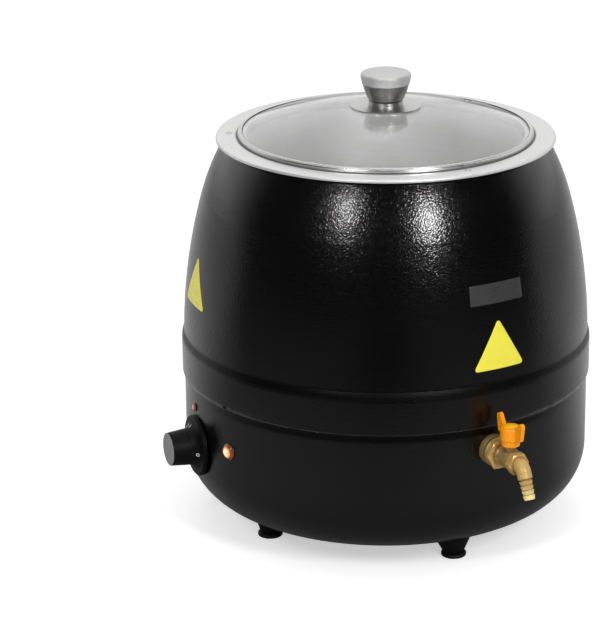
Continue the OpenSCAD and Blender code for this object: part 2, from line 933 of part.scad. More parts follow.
// The thermostat's sensing bulb under the heater plate and the thin tube that feeds it
module thermostat_bulb() {
    bulb_l = 1.08 * element_circle;
    bulb_y = -0.457 * element_circle;
    bulb_z = plate_z - bulb_r - seat_gap;
    low_z = clamp_z - 10 * capillary_r;
    inside = bowl_r - thermostat_depth - 4;
    back = [inside * sin(dial_azimuth), -inside * cos(dial_azimuth),
            dial_z - thermostat_side / 3];
    route = [
        [-bulb_l / 2, bulb_y, bulb_z],
        [-bulb_l / 2 - 8, bulb_y, bulb_z],
        [-bulb_l / 2 - 15, 0.9 * bulb_y, clamp_z - 6 * capillary_r],
        [-bulb_l, bulb_y / 2, low_z],
        [-0.75 * inside, 0, low_z],
        back
    ];
    color([0.72, 0.5, 0.35]) {
        translate([-bulb_l / 2, bulb_y, bulb_z])
            rotate([0, 90, 0])
                cylinder(r = bulb_r, h = bulb_l);
        for (i = [0 : len(route) - 2])
            tube_between(route[i], route[i + 1], capillary_r);
        for (i = [1 : len(route) - 2])
            translate(route[i])
                sphere(r = capillary_r * 1.25, $fn = 24);
    }
}

// A straight rod between two points
module tube_between(from, to, radius) {
    way = to - from;
    length = norm(way);
    translate(from)
        rotate([0, acos(way[2] / length), atan2(way[1], way[0])])
            cylinder(r = radius, h = length, $fn = 24);
}

// A lens with a round flange that stands out of the wall
module lens(radius, height) {
    dome = (radius * radius + height * height) / (2 * height);
    intersection() {
        translate([0, 0, height - dome])
            sphere(r = dome);
        cylinder(r = radius - 0.15, h = height + 1);
    }
}

module pilot_lamp_lens() {
    color([1, 0.45, 0.1])
        on_wall(pilot_azimuth, pilot_z)
            translate([0, 0, bowl_r + 0.8])
                lens(pilot_r - 0.4, 3.6);
}

module pilot_lamp_body() {
    color([0.1, 0.1, 0.1])
        on_wall(pilot_azimuth, pilot_z)
            union() {
                translate([0, 0, bowl_r - lamp_l])
                    cylinder(r = lamp_body_r, h = lamp_l + 0.1);
                translate([0, 0, bowl_r + seat_gap])
                    cylinder(r1 = pilot_r, r2 = pilot_r - 0.2, h = 0.7);
                translate([0, 0, bowl_r - bowl_wall - 3.2])
                    cylinder(r = lamp_body_r + 2.6, h = 2.8);
            }
}

module heat_lamp_lens() {
    color([0.75, 0.2, 0.1])
        on_wall(heat_lamp_azimuth, heat_lamp_z)
            translate([0, 0, bowl_r + 0.55])
                lens(heat_lamp_r - 0.2, 2.1);
}

module heat_lamp_body() {
    color([0.1, 0.1, 0.1])
        on_wall(heat_lamp_azimuth, heat_lamp_z)
            union() {
                translate([0, 0, bowl_r - small_lamp_l])
                    cylinder(r = small_lamp_body_r, h = small_lamp_l + 0.1);
                translate([0, 0, bowl_r + seat_gap])
                    cylinder(r = heat_lamp_r, h = 0.45);
                translate([0, 0, bowl_r - bowl_wall - 2.6])
                    cylinder(r = small_lamp_body_r + 1.8, h = 2.4);
            }
}

module heater_plate() {
    color([0.7, 0.7, 0.72])
        translate([0, 0, plate_z])
            cylinder(r = pot_r - pot_corner - 6, h = plate_t - seat_gap);
}

module heating_element() {
    gap_angle = 24;
    color([0.45, 0.42, 0.4])
        translate([0, 0, element_z]) {
            rotate([0, 0, 90 + gap_angle / 2])
                rotate_extrude(angle = 360 - gap_angle, $fn = wide)
                    translate([element_circle, 0])
                        circle(r = element_r);
            for (side = [-1, 1])
                rotate([0, 0, side * gap_angle / 2])
                    translate([0, element_circle, -lead_l])
                        cylinder(r = element_r - 0.6, h = lead_l);
        }
}

module heater_clamp() {
    reach = element_circle + element_r + 4;
    color([0.6, 0.6, 0.62])
        translate([0, 0, clamp_z - clamp_t])
            difference() {
                for (turn = [0, 90])
                    rotate([0, 0, turn + 45])
                        translate([-reach, -clamp_w / 2, 0])
                            cube([2 * reach, clamp_w, clamp_t]);
                translate([0, 0, -cut])
                    cylinder(r = rod_r + 0.2, h = clamp_t + 2 * cut);
            }
}

module clamp_nut() {
    color("silver")
        translate([0, 0, clamp_z - clamp_t - rod_nut_h - seat_gap])
            hex_nut(shaft_nut_af, rod_r + seat_gap, rod_nut_h);
}

module thermal_cutout() {
    cap_h = cutout_h / 3;
    color([0.85, 0.82, 0.75])
        translate([element_circle / 2, 0, plate_z - cutout_h - seat_gap]) {
            cylinder(r = cutout_r - 1, h = cutout_h - cap_h);
            translate([0, 0, cutout_h - cap_h - 0.01])
                cylinder(r = cutout_r, h = cap_h + 0.01);
            for (x = [-cutout_r / 2, cutout_r / 2])
                translate([x - 2, -0.4, -cutout_h + 2])
                    cube([4, 0.8, cutout_h - 2 + 0.01]);
        }
}

module tie_rod() {
    color("silver")
        translate([0, 0, base_z - 9])
            cylinder(r = rod_r, h = plate_z - base_z + 9 - seat_gap);
}

module tie_nut() {
    color("silver")
        translate([0, 0, base_z + cover_dish - 1.6 - seat_gap - rod_nut_h])
            hex_nut(shaft_nut_af, rod_r + seat_gap, rod_nut_h);
}

module terminal_block() {
    pitch = terminal_w / 4.42;
    floor_z = base_z + cover_dish + seat_gap;
    color([0.9, 0.9, 0.86])
        translate([-terminal_w / 2, -0.62 * service_r, floor_z])
            difference() {
                cube([terminal_w, terminal_d, terminal_h]);
                for (i = [0 : 3])
                    translate([(i + 0.71) * pitch, terminal_d / 2, terminal_h - 6])
                        cylinder(r = pitch / 4, h = 7);
            }
}

module cable_gland() {
    inner_l = 12;
    cap_l = 8;
    color([0.08, 0.08, 0.08])
        on_wall(gland_azimuth, gland_z)
            difference() {
                union() {
                    translate([0, 0, bowl_r - inner_l])
                        cylinder(r = gland_r, h = inner_l + 2);
                    translate([0, 0, bowl_r + seat_gap])
                        cylinder(r = (gland_cap_r + 0.6) / cos(30), h = gland_flange_l, $fn = 6);
                    translate([0, 0, bowl_r + gland_flange_l])
                        cylinder(r = gland_cap_r - 0.8, h = 1);
                    translate([0, 0, bowl_r + gland_flange_l + 0.5])
                        cylinder(r = gland_cap_r, h = cap_l);
                    translate([0, 0, bowl_r + gland_flange_l + 0.5 + cap_l])
                        cylinder(r1 = gland_cap_r, r2 = gland_cap_r - 3.2,
                                 h = gland_l - inner_l - gland_flange_l - 0.5 - cap_l);
                }
                translate([0, 0, bowl_r - inner_l - cut])
                    cylinder(r = gland_bore_r, h = gland_l + 2 * cut);
            }
}

module gland_nut() {
    face = sqrt((bowl_r - bowl_wall) * (bowl_r - bowl_wall) - 11.6 * 11.6);
    color([0.08, 0.08, 0.08])
        on_wall(gland_azimuth, gland_z)
            translate([0, 0, face - 4.6])
                hex_nut(20, gland_r + seat_gap, 4.5);
}

module tap_pipe() {
    color([0.72, 0.6, 0.35])
        on_wall(0, tap_z)
            translate([0, 0, pipe_end])
                ring(pipe_r, pipe_r - 2.5, tap_face + collar_l + lock_nut_l - pipe_end);
}

module tap_pot_nut() {
    flat = sqrt(pot_r * pot_r - nut_af * nut_af / 3);
    color([0.72, 0.6, 0.35])
        on_wall(0, tap_z)
            translate([0, 0, flat - 2 - 4 - 2 * seat_gap])
                hex_nut(nut_af, pipe_r + seat_gap, 4);
}

// Silicone washers on both sides of the pot's wall
module tap_pot_seals() {
    seal_r = nut_af / sqrt(3) - 0.4;
    inner_face = sqrt(pot_r * pot_r - seal_r * seal_r);
    color([0.85, 0.85, 0.85])
        on_wall(0, tap_z) {
            translate([0, 0, inner_face - 2 - seat_gap])
                ring(seal_r, pipe_r + seat_gap, 2);
            translate([0, 0, pot_r + pot_wall + seat_gap])
                ring(seal_r, pipe_r + seat_gap, 2);
        }
}

module tap_backing_nut() {
    color([0.72, 0.6, 0.35])
        on_wall(0, tap_z)
            translate([0, 0, pot_r + pot_wall + 2 + 2 * seat_gap])
                hex_nut(nut_af, pipe_r + seat_gap, 5);
}

module tap_collar() {
    groove_l = 1;
    color([0.55, 0.44, 0.24])
        on_wall(0, tap_z)
            translate([0, 0, tap_face])
                rotate_extrude()
                    difference() {
                        union() {
                            square([collar_r, collar_l - 4.5]);
                            translate([0, collar_l - 4.5])
                                square([collar_r - 0.7, groove_l]);
                            translate([0, collar_l - 3.5])
                                square([collar_r, 1.5]);
                            polygon([[0, collar_l - 2.01], [collar_r, collar_l - 2.01],
                                     [collar_r - 1.4, collar_l - seat_gap],
                                     [0, collar_l - seat_gap]]);
                        }
                        translate([0, -cut])
                            square([pipe_r + seat_gap, collar_l + 2 * cut]);
                    }
}

module tap_lock_nut() {
    color([0.82, 0.68, 0.38])
        on_wall(0, tap_z)
            translate([0, 0, tap_face + collar_l])
                hex_nut(lock_nut_af, pipe_r + seat_gap, lock_nut_l);
}

module tap_valve_body() {
    spigot_l = 8;
    waist = 1.2;
    length = cap_start - valve_start;
    color([0.72, 0.6, 0.35])
        on_wall(0, tap_z)
            difference() {
                union() {
                    translate([0, 0, valve_start])
                        rotate_extrude()
                            polygon([[0, -spigot_l], [pipe_r - 2.5 - seat_gap, -spigot_l],
                                     [pipe_r - 2.5 - seat_gap, 0], [valve_r, 0], [valve_r, 2.2],
                                     [valve_r - waist, 3.4], [valve_r - waist, 5],
                                     [valve_r, 6.2], [valve_r, length - 0.6],
                                     [valve_r - 0.6, length], [0, length]]);
                    translate([0, 0, valve_at])
                        rotate([-90, 0, 0])
                            cylinder(r = 6.4, h = boss_top - 4.9);
                    translate([0, 0, valve_at])
                        rotate([-90, 0, 0])
                            cylinder(r = 4.4, h = boss_top);
                }
                translate([0, 0, valve_start - spigot_l - cut])
                    cylinder(r = port_r, h = 30);
                translate([0, 0, valve_at - ball_r - 0.5])
                    cylinder(r = chamber_r, h = 2 * ball_r + 10);
                translate([0, 0, valve_at])
                    rotate([-90, 0, 0])
                        cylinder(r = stem_r + running_gap, h = 30);
            }
}

module tap_end_cap() {
    color([0.76, 0.63, 0.38])
        on_wall(0, tap_z)
            translate([0, 0, cap_start + seat_gap])
                hex_nut(cap_af, port_r, cap_l - seat_gap);
}

// Two sealing rings whose hollow faces hold the ball
module tap_seats() {
    color([0.95, 0.95, 0.93])
        on_wall(0, tap_z)
            translate([0, 0, valve_at])
                difference() {
                    for (side = [0, 180])
                        rotate([side, 0, 0])
                            translate([0, 0, ball_r - 2.6])
                                ring(chamber_r - seat_gap, port_r, 2.9);
                    sphere(r = ball_r + running_gap);
                }
}

module tap_ball() {
    color([0.8, 0.8, 0.8])
        on_wall(0, tap_z)
            translate([0, 0, valve_at])
                difference() {
                    sphere(r = ball_r);
                    translate([0, 0, -ball_r - cut])
                        cylinder(r = port_r, h = 2 * ball_r + 2 * cut);
                    translate([-1.5, slot_floor, -ball_r - cut])
                        cube([3, ball_r, 2 * ball_r + 2 * cut]);
                }
}

module tap_stem() {
    color([0.76, 0.63, 0.38])
        on_wall(0, tap_z)
            translate([0, 0, valve_at])
                rotate([-90, 0, 0]) {
                    translate([0, 0, ball_r + 0.1])
                        cylinder(r = stem_r, h = hub_top - 4 - ball_r - 0.1);
                    intersection() {
                        translate([-1.4, -3, slot_floor + 0.2])
                            cube([2.8, 6, ball_r - slot_floor]);
                        cylinder(r = stem_r, h = 20);
                    }
                }
}

module tap_gland_nut() {
    color([0.76, 0.63, 0.38])
        on_wall(0, tap_z)
            translate([0, 0, valve_at])
                rotate([-90, 0, 0])
                    translate([0, 0, boss_top + seat_gap])
                        hex_nut(9, stem_r + running_gap, 3);
}

// Outline of one wing of the lever: x runs outward from the stem, y runs up from the flow axis
function wing_outline() = concat(
    [[3, hub_low + 4.5], [9, hub_low + 5]],
    arc_points([wing_span - 5.5, hub_low + 10.5], 4, -50, -8, 6),
    arc_points([wing_span - 2.7, hub_top + 4.2], 2.7, -12, 125, 10),
    [[8.6, hub_top - 2.6], [3, hub_top - 2]]
);

// Points along an arc
function arc_points(centre, radius, start, finish, steps) = [
    for (i = [0 : steps])
        let (angle = start + (finish - start) * i / steps)
            [centre[0] + radius * cos(angle), centre[1] + radius * sin(angle)]
];

module tap_lever() {
    hub_r = 8.8;
    sleeve_r = 7.6;
    hub_l = hub_top - hub_low;
    color([1, 0.62, 0.12])
        on_wall(0, tap_z)
            translate([0, 0, valve_at])
                difference() {
                    union() {
                        rotate([-90, 0, 0])
                            translate([0, 0, hub_low])
                                rotate_extrude()
                                    polygon([[0, 0], [sleeve_r, 0], [sleeve_r, 4.4],
                                             [hub_r - 0.3, 5], [hub_r, 5.4], [hub_r, hub_l - 1.8],
                                             [hub_r - 0.5, hub_l - 0.6], [hub_r - 1.6, hub_l],
                                             [0, hub_l]]);
                        for (side = [0, 180])
                            rotate([0, side, 0])
                                rotate([0, -90, 0])
                                    translate([0, 0, -wing_t / 2])
                                        linear_extrude(height = wing_t)
                                            polygon(wing_outline());
                    }
                    rotate([-90, 0, 0])
                        cylinder(r = stem_r + seat_gap, h = hub_top - 3.5);
                    rotate([-90, 0, 0])
                        cylinder(r = 5.9, h = hub_low + 5);
                    rotate([-90, 0, 0])
                        translate([0, 0, hub_top - 1.6])
                            cylinder(r = lever_cap_r + seat_gap, h = 3);
                    rotate([-90, 0, 0])
                        cylinder(r = 1.6, h = hub_top + cut);
                }
}

module tap_lever_cap() {
    dome_h = 1.6;
    edge_h = 1.7;
    dome_arc = (lever_cap_r * lever_cap_r + dome_h * dome_h) / (2 * dome_h);
    color([1, 0.72, 0.1])
        on_wall(0, tap_z)
            translate([0, 0, valve_at])
                rotate([-90, 0, 0])
                    translate([0, 0, hub_top - 1.6 + seat_gap]) {
                        translate([0, 0, -2.4])
                            cylinder(r = 1.5, h = 2.6);
                        rotate_extrude()
                            intersection() {
                                translate([0, edge_h + dome_h - dome_arc])
                                    circle(r = dome_arc, $fn = 144);
                                square([lever_cap_r, 4]);
                            }
                    }
}

module tap_elbow() {
    ridge_count = 4;
    ridge_l = 4;
    neck_r = barb_r - 0.9;
    smooth_l = barb_l - ridge_count * ridge_l;
    bore_r = port_r - 0.4;
    step = 0.12;
    color([0.85, 0.75, 0.5])
        on_wall(0, tap_z)
            translate([0, -elbow_bend, elbow_start])
                difference() {
                    union() {
                        bend(elbow_r);
                        after_bend()
                            rotate_extrude()
                                polygon(concat(
                                    [[0, -0.3], [elbow_r - step, -0.3],
                                     [elbow_r - step, smooth_l - 1.6],
                                     [neck_r, smooth_l - 0.8]],
                                    [for (i = [0 : ridge_count - 1], k = [0 : 1])
                                        [k == 0 ? neck_r - 0.2 * i : barb_r - 0.2 * i,
                                         smooth_l + i * ridge_l + 0.15 * k]],
                                    [[neck_r - 0.6, barb_l], [0, barb_l]]));
                    }
                    bend(bore_r);
                    after_bend()
                        translate([0, 0, -0.3])
                            cylinder(r = bore_r + step, h = barb_l + cut);
                }
}

// The curved stretch of the elbow, as a solid rod of one radius
module bend(radius) {
    rotate([90, 0, 90])
        rotate_extrude(angle = elbow_angle)
            translate([elbow_bend, 0])
                circle(r = radius);
}

// Places its children at the bend's lower end, with their +Z along the outlet
module after_bend() {
    translate([0, elbow_bend * cos(elbow_angle), elbow_bend * sin(elbow_angle)])
        rotate([elbow_angle, 0, 0])
            children();
}

upper_shell();
lower_shell();
bottom_cover();
bottom_cover_screws();
inner_pot();
pot_gasket();
rim_ring();
rim_rivets();
foot_legs();
foot_pads();
foot_screws();
foot_nuts();
lid_glass();
lid_band();
lid_vent();
knob_flange();
knob_neck();
knob_seal_ring();
lid_knob();
lid_knob_cap();
knob_washer();
knob_screw();
dial_plate();
thermostat_knob();
thermostat_shaft();
thermostat_body();
thermostat_nut();
thermostat_bulb();
pilot_lamp_lens();
pilot_lamp_body();
heat_lamp_lens();
heat_lamp_body();
heater_plate();
heating_element();
heater_clamp();
clamp_nut();
thermal_cutout();
tie_rod();
tie_nut();
terminal_block();
cable_gland();
gland_nut();
tap_pipe();
tap_pot_nut();
tap_pot_seals();
tap_backing_nut();
tap_collar();
tap_lock_nut();
tap_valve_body();
tap_end_cap();
tap_seats();
tap_ball();
tap_stem();
tap_gland_nut();
tap_lever();
tap_lever_cap();
tap_elbow();
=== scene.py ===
import json
import math

import bmesh
import bpy
import numpy as np
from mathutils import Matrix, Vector


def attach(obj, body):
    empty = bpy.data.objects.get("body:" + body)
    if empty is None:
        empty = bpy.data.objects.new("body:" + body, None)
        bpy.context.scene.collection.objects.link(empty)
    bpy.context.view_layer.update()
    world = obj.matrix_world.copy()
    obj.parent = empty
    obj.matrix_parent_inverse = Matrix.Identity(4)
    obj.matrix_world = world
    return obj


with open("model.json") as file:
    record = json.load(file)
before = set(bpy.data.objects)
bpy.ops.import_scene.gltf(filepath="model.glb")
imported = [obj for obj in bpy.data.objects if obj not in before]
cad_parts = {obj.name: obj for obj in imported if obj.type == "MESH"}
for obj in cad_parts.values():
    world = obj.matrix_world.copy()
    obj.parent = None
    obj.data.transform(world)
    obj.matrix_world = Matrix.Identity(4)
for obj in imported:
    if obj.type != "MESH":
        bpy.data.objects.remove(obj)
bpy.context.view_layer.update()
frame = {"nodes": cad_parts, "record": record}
nodes = frame["nodes"]


# Places
# Lengths are in metres, and an azimuth is in degrees from the tap, counter-clockwise from above
def aroundAxis(azimuth, radius, height):
    # x = radius sin(azimuth), y = -radius cos(azimuth)
    turn = math.radians(azimuth)
    return radius * math.sin(turn), -radius * math.cos(turn), height


def aim(thing, place, target):
    thing.location = place
    thing.rotation_euler = (Vector(target) - Vector(place)).to_track_quat("-Z", "Y").to_euler()


wallAxes = {    # azimuth and height of what stands square on the wall
    "dial": (-97.0, 0.0885),
    "pilotLamp": (-78.6, 0.1015),
    "heatLamp": (-98.3, 0.122),
}

# Camera
# It stands to the left of the tap, a little above the lid
camera = {
    "azimuth": -30.0,
    "distance": 2.2190,     # from the kettle's axis, level
    "height": 0.9503,
    "target": 0.1840,       # height of the point on the axis that it looks at
    "lens": 154.9,
    "sensor": 36,
    "shiftX": -0.1375,
    "shiftY": 0.0032,
    "nearest": 0.05,
    "furthest": 100,
}


def makeCamera(c):
    data = bpy.data.cameras.new("camera")
    data.lens = c["lens"]
    data.sensor_width = c["sensor"]
    data.shift_x = c["shiftX"]
    data.shift_y = c["shiftY"]
    data.clip_start = c["nearest"]
    data.clip_end = c["furthest"]
    cam = bpy.data.objects.new("camera", data)
    bpy.context.scene.collection.objects.link(cam)
    aim(cam, aroundAxis(c["azimuth"], c["distance"], c["height"]), (0, 0, c["target"]))
    bpy.context.scene.camera = cam


makeCamera(camera)
print("camera ready")


# Node helpers
# Short names for building one node tree
class Nodes:
    def __init__(self, tree):
        self.tree = tree

    def feed(self, value, socket):
        if isinstance(value, bpy.types.NodeSocket):
            self.tree.links.new(value, socket)
        else:
            socket.default_value = value

    def add(self, kind, inputs=None, **settings):
        node = self.tree.nodes.new(kind)
        for name, value in settings.items():
            setattr(node, name, value)
        for key, value in (inputs or {}).items():
            self.feed(value, node.inputs[key])
        return node

    def math(self, operation, a, b=0.0, clamp=False):
        return self.add("ShaderNodeMath", {0: a, 1: b}, operation=operation,
                        use_clamp=clamp).outputs[0]

    def plus(self, a, b, clamp=False):
        return self.math("ADD", a, b, clamp)

    def minus(self, a, b):
        return self.math("SUBTRACT", a, b)

    def times(self, a, b):
        return self.math("MULTIPLY", a, b)

    def hypot(self, a, b):
        return self.math("SQRT", self.plus(self.times(a, a), self.times(b, b)))

    def ramp(self, value, low, high, outLow=0.0, outHigh=1.0):
        return self.add("ShaderNodeMapRange",
                        {0: value, 1: low, 2: high, 3: outLow, 4: outHigh}).outputs[0]

    def near(self, value, middle, half, inner, peak=1.0):
        # The peak at the middle value, falling to 0 between the inner share of half and half away
        away = self.math("ABSOLUTE", self.minus(value, middle))
        return self.ramp(away, half * inner, half, peak, 0.0)

    def mixColor(self, factor, a, b):
        return self.add("ShaderNodeMix", {0: factor, 6: a, 7: b}, data_type="RGBA").outputs[2]

    def objectCoords(self):
        return self.add("ShaderNodeTexCoord").outputs["Object"]

    def xyz(self, vector):
        return self.add("ShaderNodeSeparateXYZ", {0: vector}).outputs

    def dot(self, a, b):
        return self.add("ShaderNodeVectorMath", {0: a, 1: b},
                        operation="DOT_PRODUCT").outputs["Value"]

    def noise(self, vector, scale, detail=3.0, rough=0.5, distortion=0.0):
        return self.add("ShaderNodeTexNoise", {"Vector": vector, "Scale": scale, "Detail": detail,
                                               "Roughness": rough,
                                               "Distortion": distortion}).outputs[0]

    def bump(self, height, distance, **more):
        return self.add("ShaderNodeBump", {"Height": height, "Distance": distance, **more}).outputs[0]

    def group(self, tree, **inputs):
        named = {label.replace("_", " "): value for label, value in inputs.items()}
        return self.add("ShaderNodeGroup", named, node_tree=tree).outputs


noiseSpan = (0.3, 0.7)      # most values of a noise lie between these


def rgba(color):
    return tuple(color) + (1.0,)


def newGroup(name, inputs, outputs):
    group = bpy.data.node_groups.new(name, "ShaderNodeTree")
    for label, kind, value in inputs:
        item = group.interface.new_socket(label, in_out="INPUT", socket_type=kind)
        if value is not None:
            item.default_value = value
    for label in outputs:
        group.interface.new_socket(label, in_out="OUTPUT", socket_type="NodeSocketFloat")
    n = Nodes(group)
    return group, n, n.add("NodeGroupInput").outputs, n.add("NodeGroupOutput").inputs


def newMaterial(name, baseColor, roughness, metallic=0.0, **sockets):
    mat = bpy.data.materials.new(name)
    mat.use_nodes = True
    shader = mat.node_tree.nodes["Principled BSDF"]
    constants = {"Base Color": rgba(baseColor), "Roughness": roughness, "Metallic": metallic}
    for key, value in {**constants, **sockets}.items():
        shader.inputs[key.replace("_", " ")].default_value = value
    mat.diffuse_color = rgba(baseColor)
    return mat, Nodes(mat.node_tree), shader


# Shared effects
pebble = {
    "warpScale": 260.0,
    "warp": (0.0012, -0.0009, 0.0011),      # metres along x, y and z, times the warping noise
    "cellShare": 0.3, "noiseShare": 0.9,    # what each adds to the height
    "noiseScale": 1.15, "speckScale": 1.5,  # times the grain's own scale
    "specks": (0.35, 0.62),                 # noise levels where a speck starts and is full
}


def makePebble(p):
    # Pebbled coat: rounded cells and a finer noise, both warped, give a height and a speckle mask.
    group, n, src, out = newGroup(
        "pebbleGrain",
        [("Vector", "NodeSocketVector", None), ("Scale", "NodeSocketFloat", 1000.0)],
        ["Height", "Speckle"])
    warp = n.noise(src["Vector"], p["warpScale"], 2.0)
    shift = n.add("ShaderNodeCombineXYZ",
                  {axis: n.times(warp, most) for axis, most in enumerate(p["warp"])}).outputs[0]
    shifted = n.add("ShaderNodeVectorMath", {0: src["Vector"], 1: shift}, operation="ADD").outputs[0]
    cells = n.add("ShaderNodeTexVoronoi", {"Vector": shifted, "Scale": src["Scale"]},
                  feature="SMOOTH_F1").outputs["Distance"]
    finer = n.noise(shifted, n.times(src["Scale"], p["noiseScale"]), 0.0)
    specks = n.noise(shifted, n.times(src["Scale"], p["speckScale"]), 0.0)
    height = n.plus(n.times(n.minus(1.0, cells), p["cellShare"]), n.times(finer, p["noiseShare"]))
    n.feed(height, out["Height"])
    n.feed(n.ramp(specks, *p["specks"]), out["Speckle"])
    return group


turned = {
    "coarse": (1.0, 3.0, 0.6),      # scale, detail and roughness of the noise
    "fine": (3.3, 2.0, 0.7),
}


def makeTurned(t):
    # Lathe lines: noise that changes quickly along the axis and the radius, slowly round the axis.
    group, n, src, out = newGroup(
        "turnedLines",
        [("Vector", "NodeSocketVector", None), ("Across", "NodeSocketFloat", 2500.0),
         ("Around", "NodeSocketFloat", 3.0)],
        ["Lines", "Fine"])
    x, y, z = n.xyz(src["Vector"])
    turn = n.math("ARCTAN2", y, x)
    around = n.add("ShaderNodeCombineXYZ", {
        0: n.times(n.math("COSINE", turn), src["Around"]),
        1: n.times(n.math("SINE", turn), src["Around"]),
        2: n.times(n.plus(n.hypot(x, y), z), src["Across"])}).outputs[0]
    n.feed(n.ramp(n.noise(around, *t["coarse"]), *noiseSpan), out["Lines"])
    n.feed(n.ramp(n.noise(around, *t["fine"]), *noiseSpan), out["Fine"])
    return group


wear = {
    "patchNoise": (4.0, 0.6),           # detail and roughness
    "patches": (0.35, 0.7),             # noise levels where a patch starts and is full
    "stretch": (1.0, 0.6, 9.0),         # of the pattern that the scratches follow
    "lineNoise": (2.0, 0.4, 1.2),       # detail, roughness and distortion
    "lineAt": 0.5, "lineHalf": 0.006,   # the noise level that a scratch follows, and half its width
    "lineIn": (0.45, 0.8),              # patch levels where scratches start and are full
}


def makeWear(w):
    # Handling marks: broad soft patches and sparse thin scratches.
    group, n, src, out = newGroup(
        "handling",
        [("Vector", "NodeSocketVector", None), ("Patch Scale", "NodeSocketFloat", 18.0),
         ("Scratch Scale", "NodeSocketFloat", 60.0)],
        ["Patches", "Scratches"])
    patches = n.ramp(n.noise(src["Vector"], src["Patch Scale"], *w["patchNoise"]), *w["patches"])
    stretched = n.add("ShaderNodeMapping", {0: src["Vector"], 3: w["stretch"]}).outputs[0]
    lines = n.near(n.noise(stretched, src["Scratch Scale"], *w["lineNoise"]),
                   w["lineAt"], w["lineHalf"], 0.0)
    n.feed(patches, out["Patches"])
    n.feed(n.times(lines, n.ramp(patches, *w["lineIn"])), out["Scratches"])
    return group


pebbleGrain = makePebble(pebble)
turnedLines = makeTurned(turned)
handling = makeWear(wear)
print("shared effects ready")


# Powder coat
coatLook = {
    "patchScale": 9.0, "scratchScale": 30.0,
    "dust": 0.35, "dustPaler": 1.5, "dustAdds": 0.0002,     # most of it, and the coat's colour in it
    "dustRough": 0.04,
}
# Painted light on the shell's coat: two bands of painted shade, a painted highlight along the lip and
# a painted shade spot at a notch
coatPaintedLight = {
    "foldZ": 0.1741, "foldHalf": 0.0053,        # painted shade over the band's shoulder
    "foldRough": 0.25, "foldFlat": 0.72,        # roughness added, and share of the shine that the painted shade takes
    "underZ": 0.1355, "underHalf": 0.0046, "underFlat": 0.62,   # painted shadow in the lip's lee
    "bandInner": 0.35,                          # share of a band's half height that is full
    "glance": (0.25, 0.7), "flatLeft": 0.15,    # from facing 0 to glancing 1: where the bands fade
    "lipZ": 0.1402, "lipHalf": 0.0032, "lipColor": (0.10, 0.10, 0.102),     # painted highlight along the lip, in worn-looking patches
    "lipPatchScale": 160.0, "lipPatches": (0.3, 0.6, 0.45, 1.0),
    "chip": (-79.5, 0.1779, 0.1402),            # azimuth, radius and height of a notch at the band's seam, painted as a black spot of shade
    "chipSize": 0.0030, "chipInner": 0.6, "chipColor": (0.0003, 0.0003, 0.0003),
    "chipRough": 0.5, "chipFlat": 0.95,
}


def wearCoat(n, coords, tone, rough, w):
    # Two bands of painted shade (Metallic takes the coat's shine), a painted highlight in patches on
    # the lip and a painted shade spot at a notch. The shade fades and the highlight shows when
    # glancing.
    z = n.xyz(coords)[2]
    glance = n.add("ShaderNodeLayerWeight", {"Blend": 0.5}).outputs["Facing"]
    # painted shade: one band over the band's shoulder, one in the lip's lee
    fold = n.near(z, w["foldZ"], w["foldHalf"], w["bandInner"])
    under = n.near(z, w["underZ"], w["underHalf"], w["bandInner"])
    rough = n.plus(rough, n.times(fold, w["foldRough"]), clamp=True)
    flat = n.plus(n.times(fold, w["foldFlat"]), n.times(under, w["underFlat"]))
    flat = n.times(flat, n.ramp(glance, *w["glance"], 1.0, w["flatLeft"]))
    # painted highlight along the lip, in patches, showing at a glancing angle
    worn = n.ramp(n.noise(coords, w["lipPatchScale"], 3.0), *w["lipPatches"])
    worn = n.times(worn, n.ramp(glance, *w["glance"]))
    worn = n.times(worn, n.near(z, w["lipZ"], w["lipHalf"], w["bandInner"]))
    tone = n.mixColor(worn, tone, rgba(w["lipColor"]))
    # painted shade: a black, shineless spot at the notch
    away = n.add("ShaderNodeVectorMath", {0: coords, 1: aroundAxis(*w["chip"])},
                 operation="DISTANCE").outputs["Value"]
    chip = n.ramp(away, w["chipSize"] * w["chipInner"], w["chipSize"], 1.0, 0.0)
    tone = n.mixColor(chip, tone, rgba(w["chipColor"]))
    rough = n.plus(rough, n.times(chip, w["chipRough"]), clamp=True)
    return tone, rough, n.math("MAXIMUM", flat, n.times(chip, w["chipFlat"]))


def coatMaterial(name, color, grain, depth, roughness, specular, worn=None):
    # Textured powder coat: pebbled height, speckled roughness, faint dust patches; worn adds painted
    # shade and a painted highlight.
    mat, n, shader = newMaterial(name, color, roughness[0], Specular_IOR_Level=specular)
    coords = n.objectCoords()
    pebbles = n.group(pebbleGrain, Vector=coords, Scale=grain)
    patches = n.group(handling, Vector=coords, Patch_Scale=coatLook["patchScale"],
                      Scratch_Scale=coatLook["scratchScale"])["Patches"]
    dusty = rgba([c * coatLook["dustPaler"] + coatLook["dustAdds"] for c in color])
    tone = n.mixColor(n.times(patches, coatLook["dust"]), rgba(color), dusty)
    rough = n.plus(n.ramp(pebbles["Speckle"], 0.0, 1.0, *roughness),
                   n.times(patches, coatLook["dustRough"]))
    if worn:
        tone, rough, flat = wearCoat(n, coords, tone, rough, worn)
        n.feed(flat, shader.inputs["Metallic"])     # painted shade: Metallic takes the black coat's shine away
    n.feed(tone, shader.inputs["Base Color"])
    n.feed(rough, shader.inputs["Roughness"])
    n.feed(n.bump(pebbles["Height"], depth), shader.inputs["Normal"])
    return mat


coats = {
    # the shell's coat gets painted shade bands, a painted highlight on the lip and a painted shade
    # spot
    "shellCoat": dict(color=(0.001, 0.001, 0.00105), grain=740.0, depth=0.000155,
                      roughness=(0.08, 0.22), specular=0.5, worn=coatPaintedLight),
    "coverCoat": dict(color=(0.012, 0.012, 0.012), grain=1400.0, depth=0.00006,
                      roughness=(0.44, 0.58), specular=0.4),
}

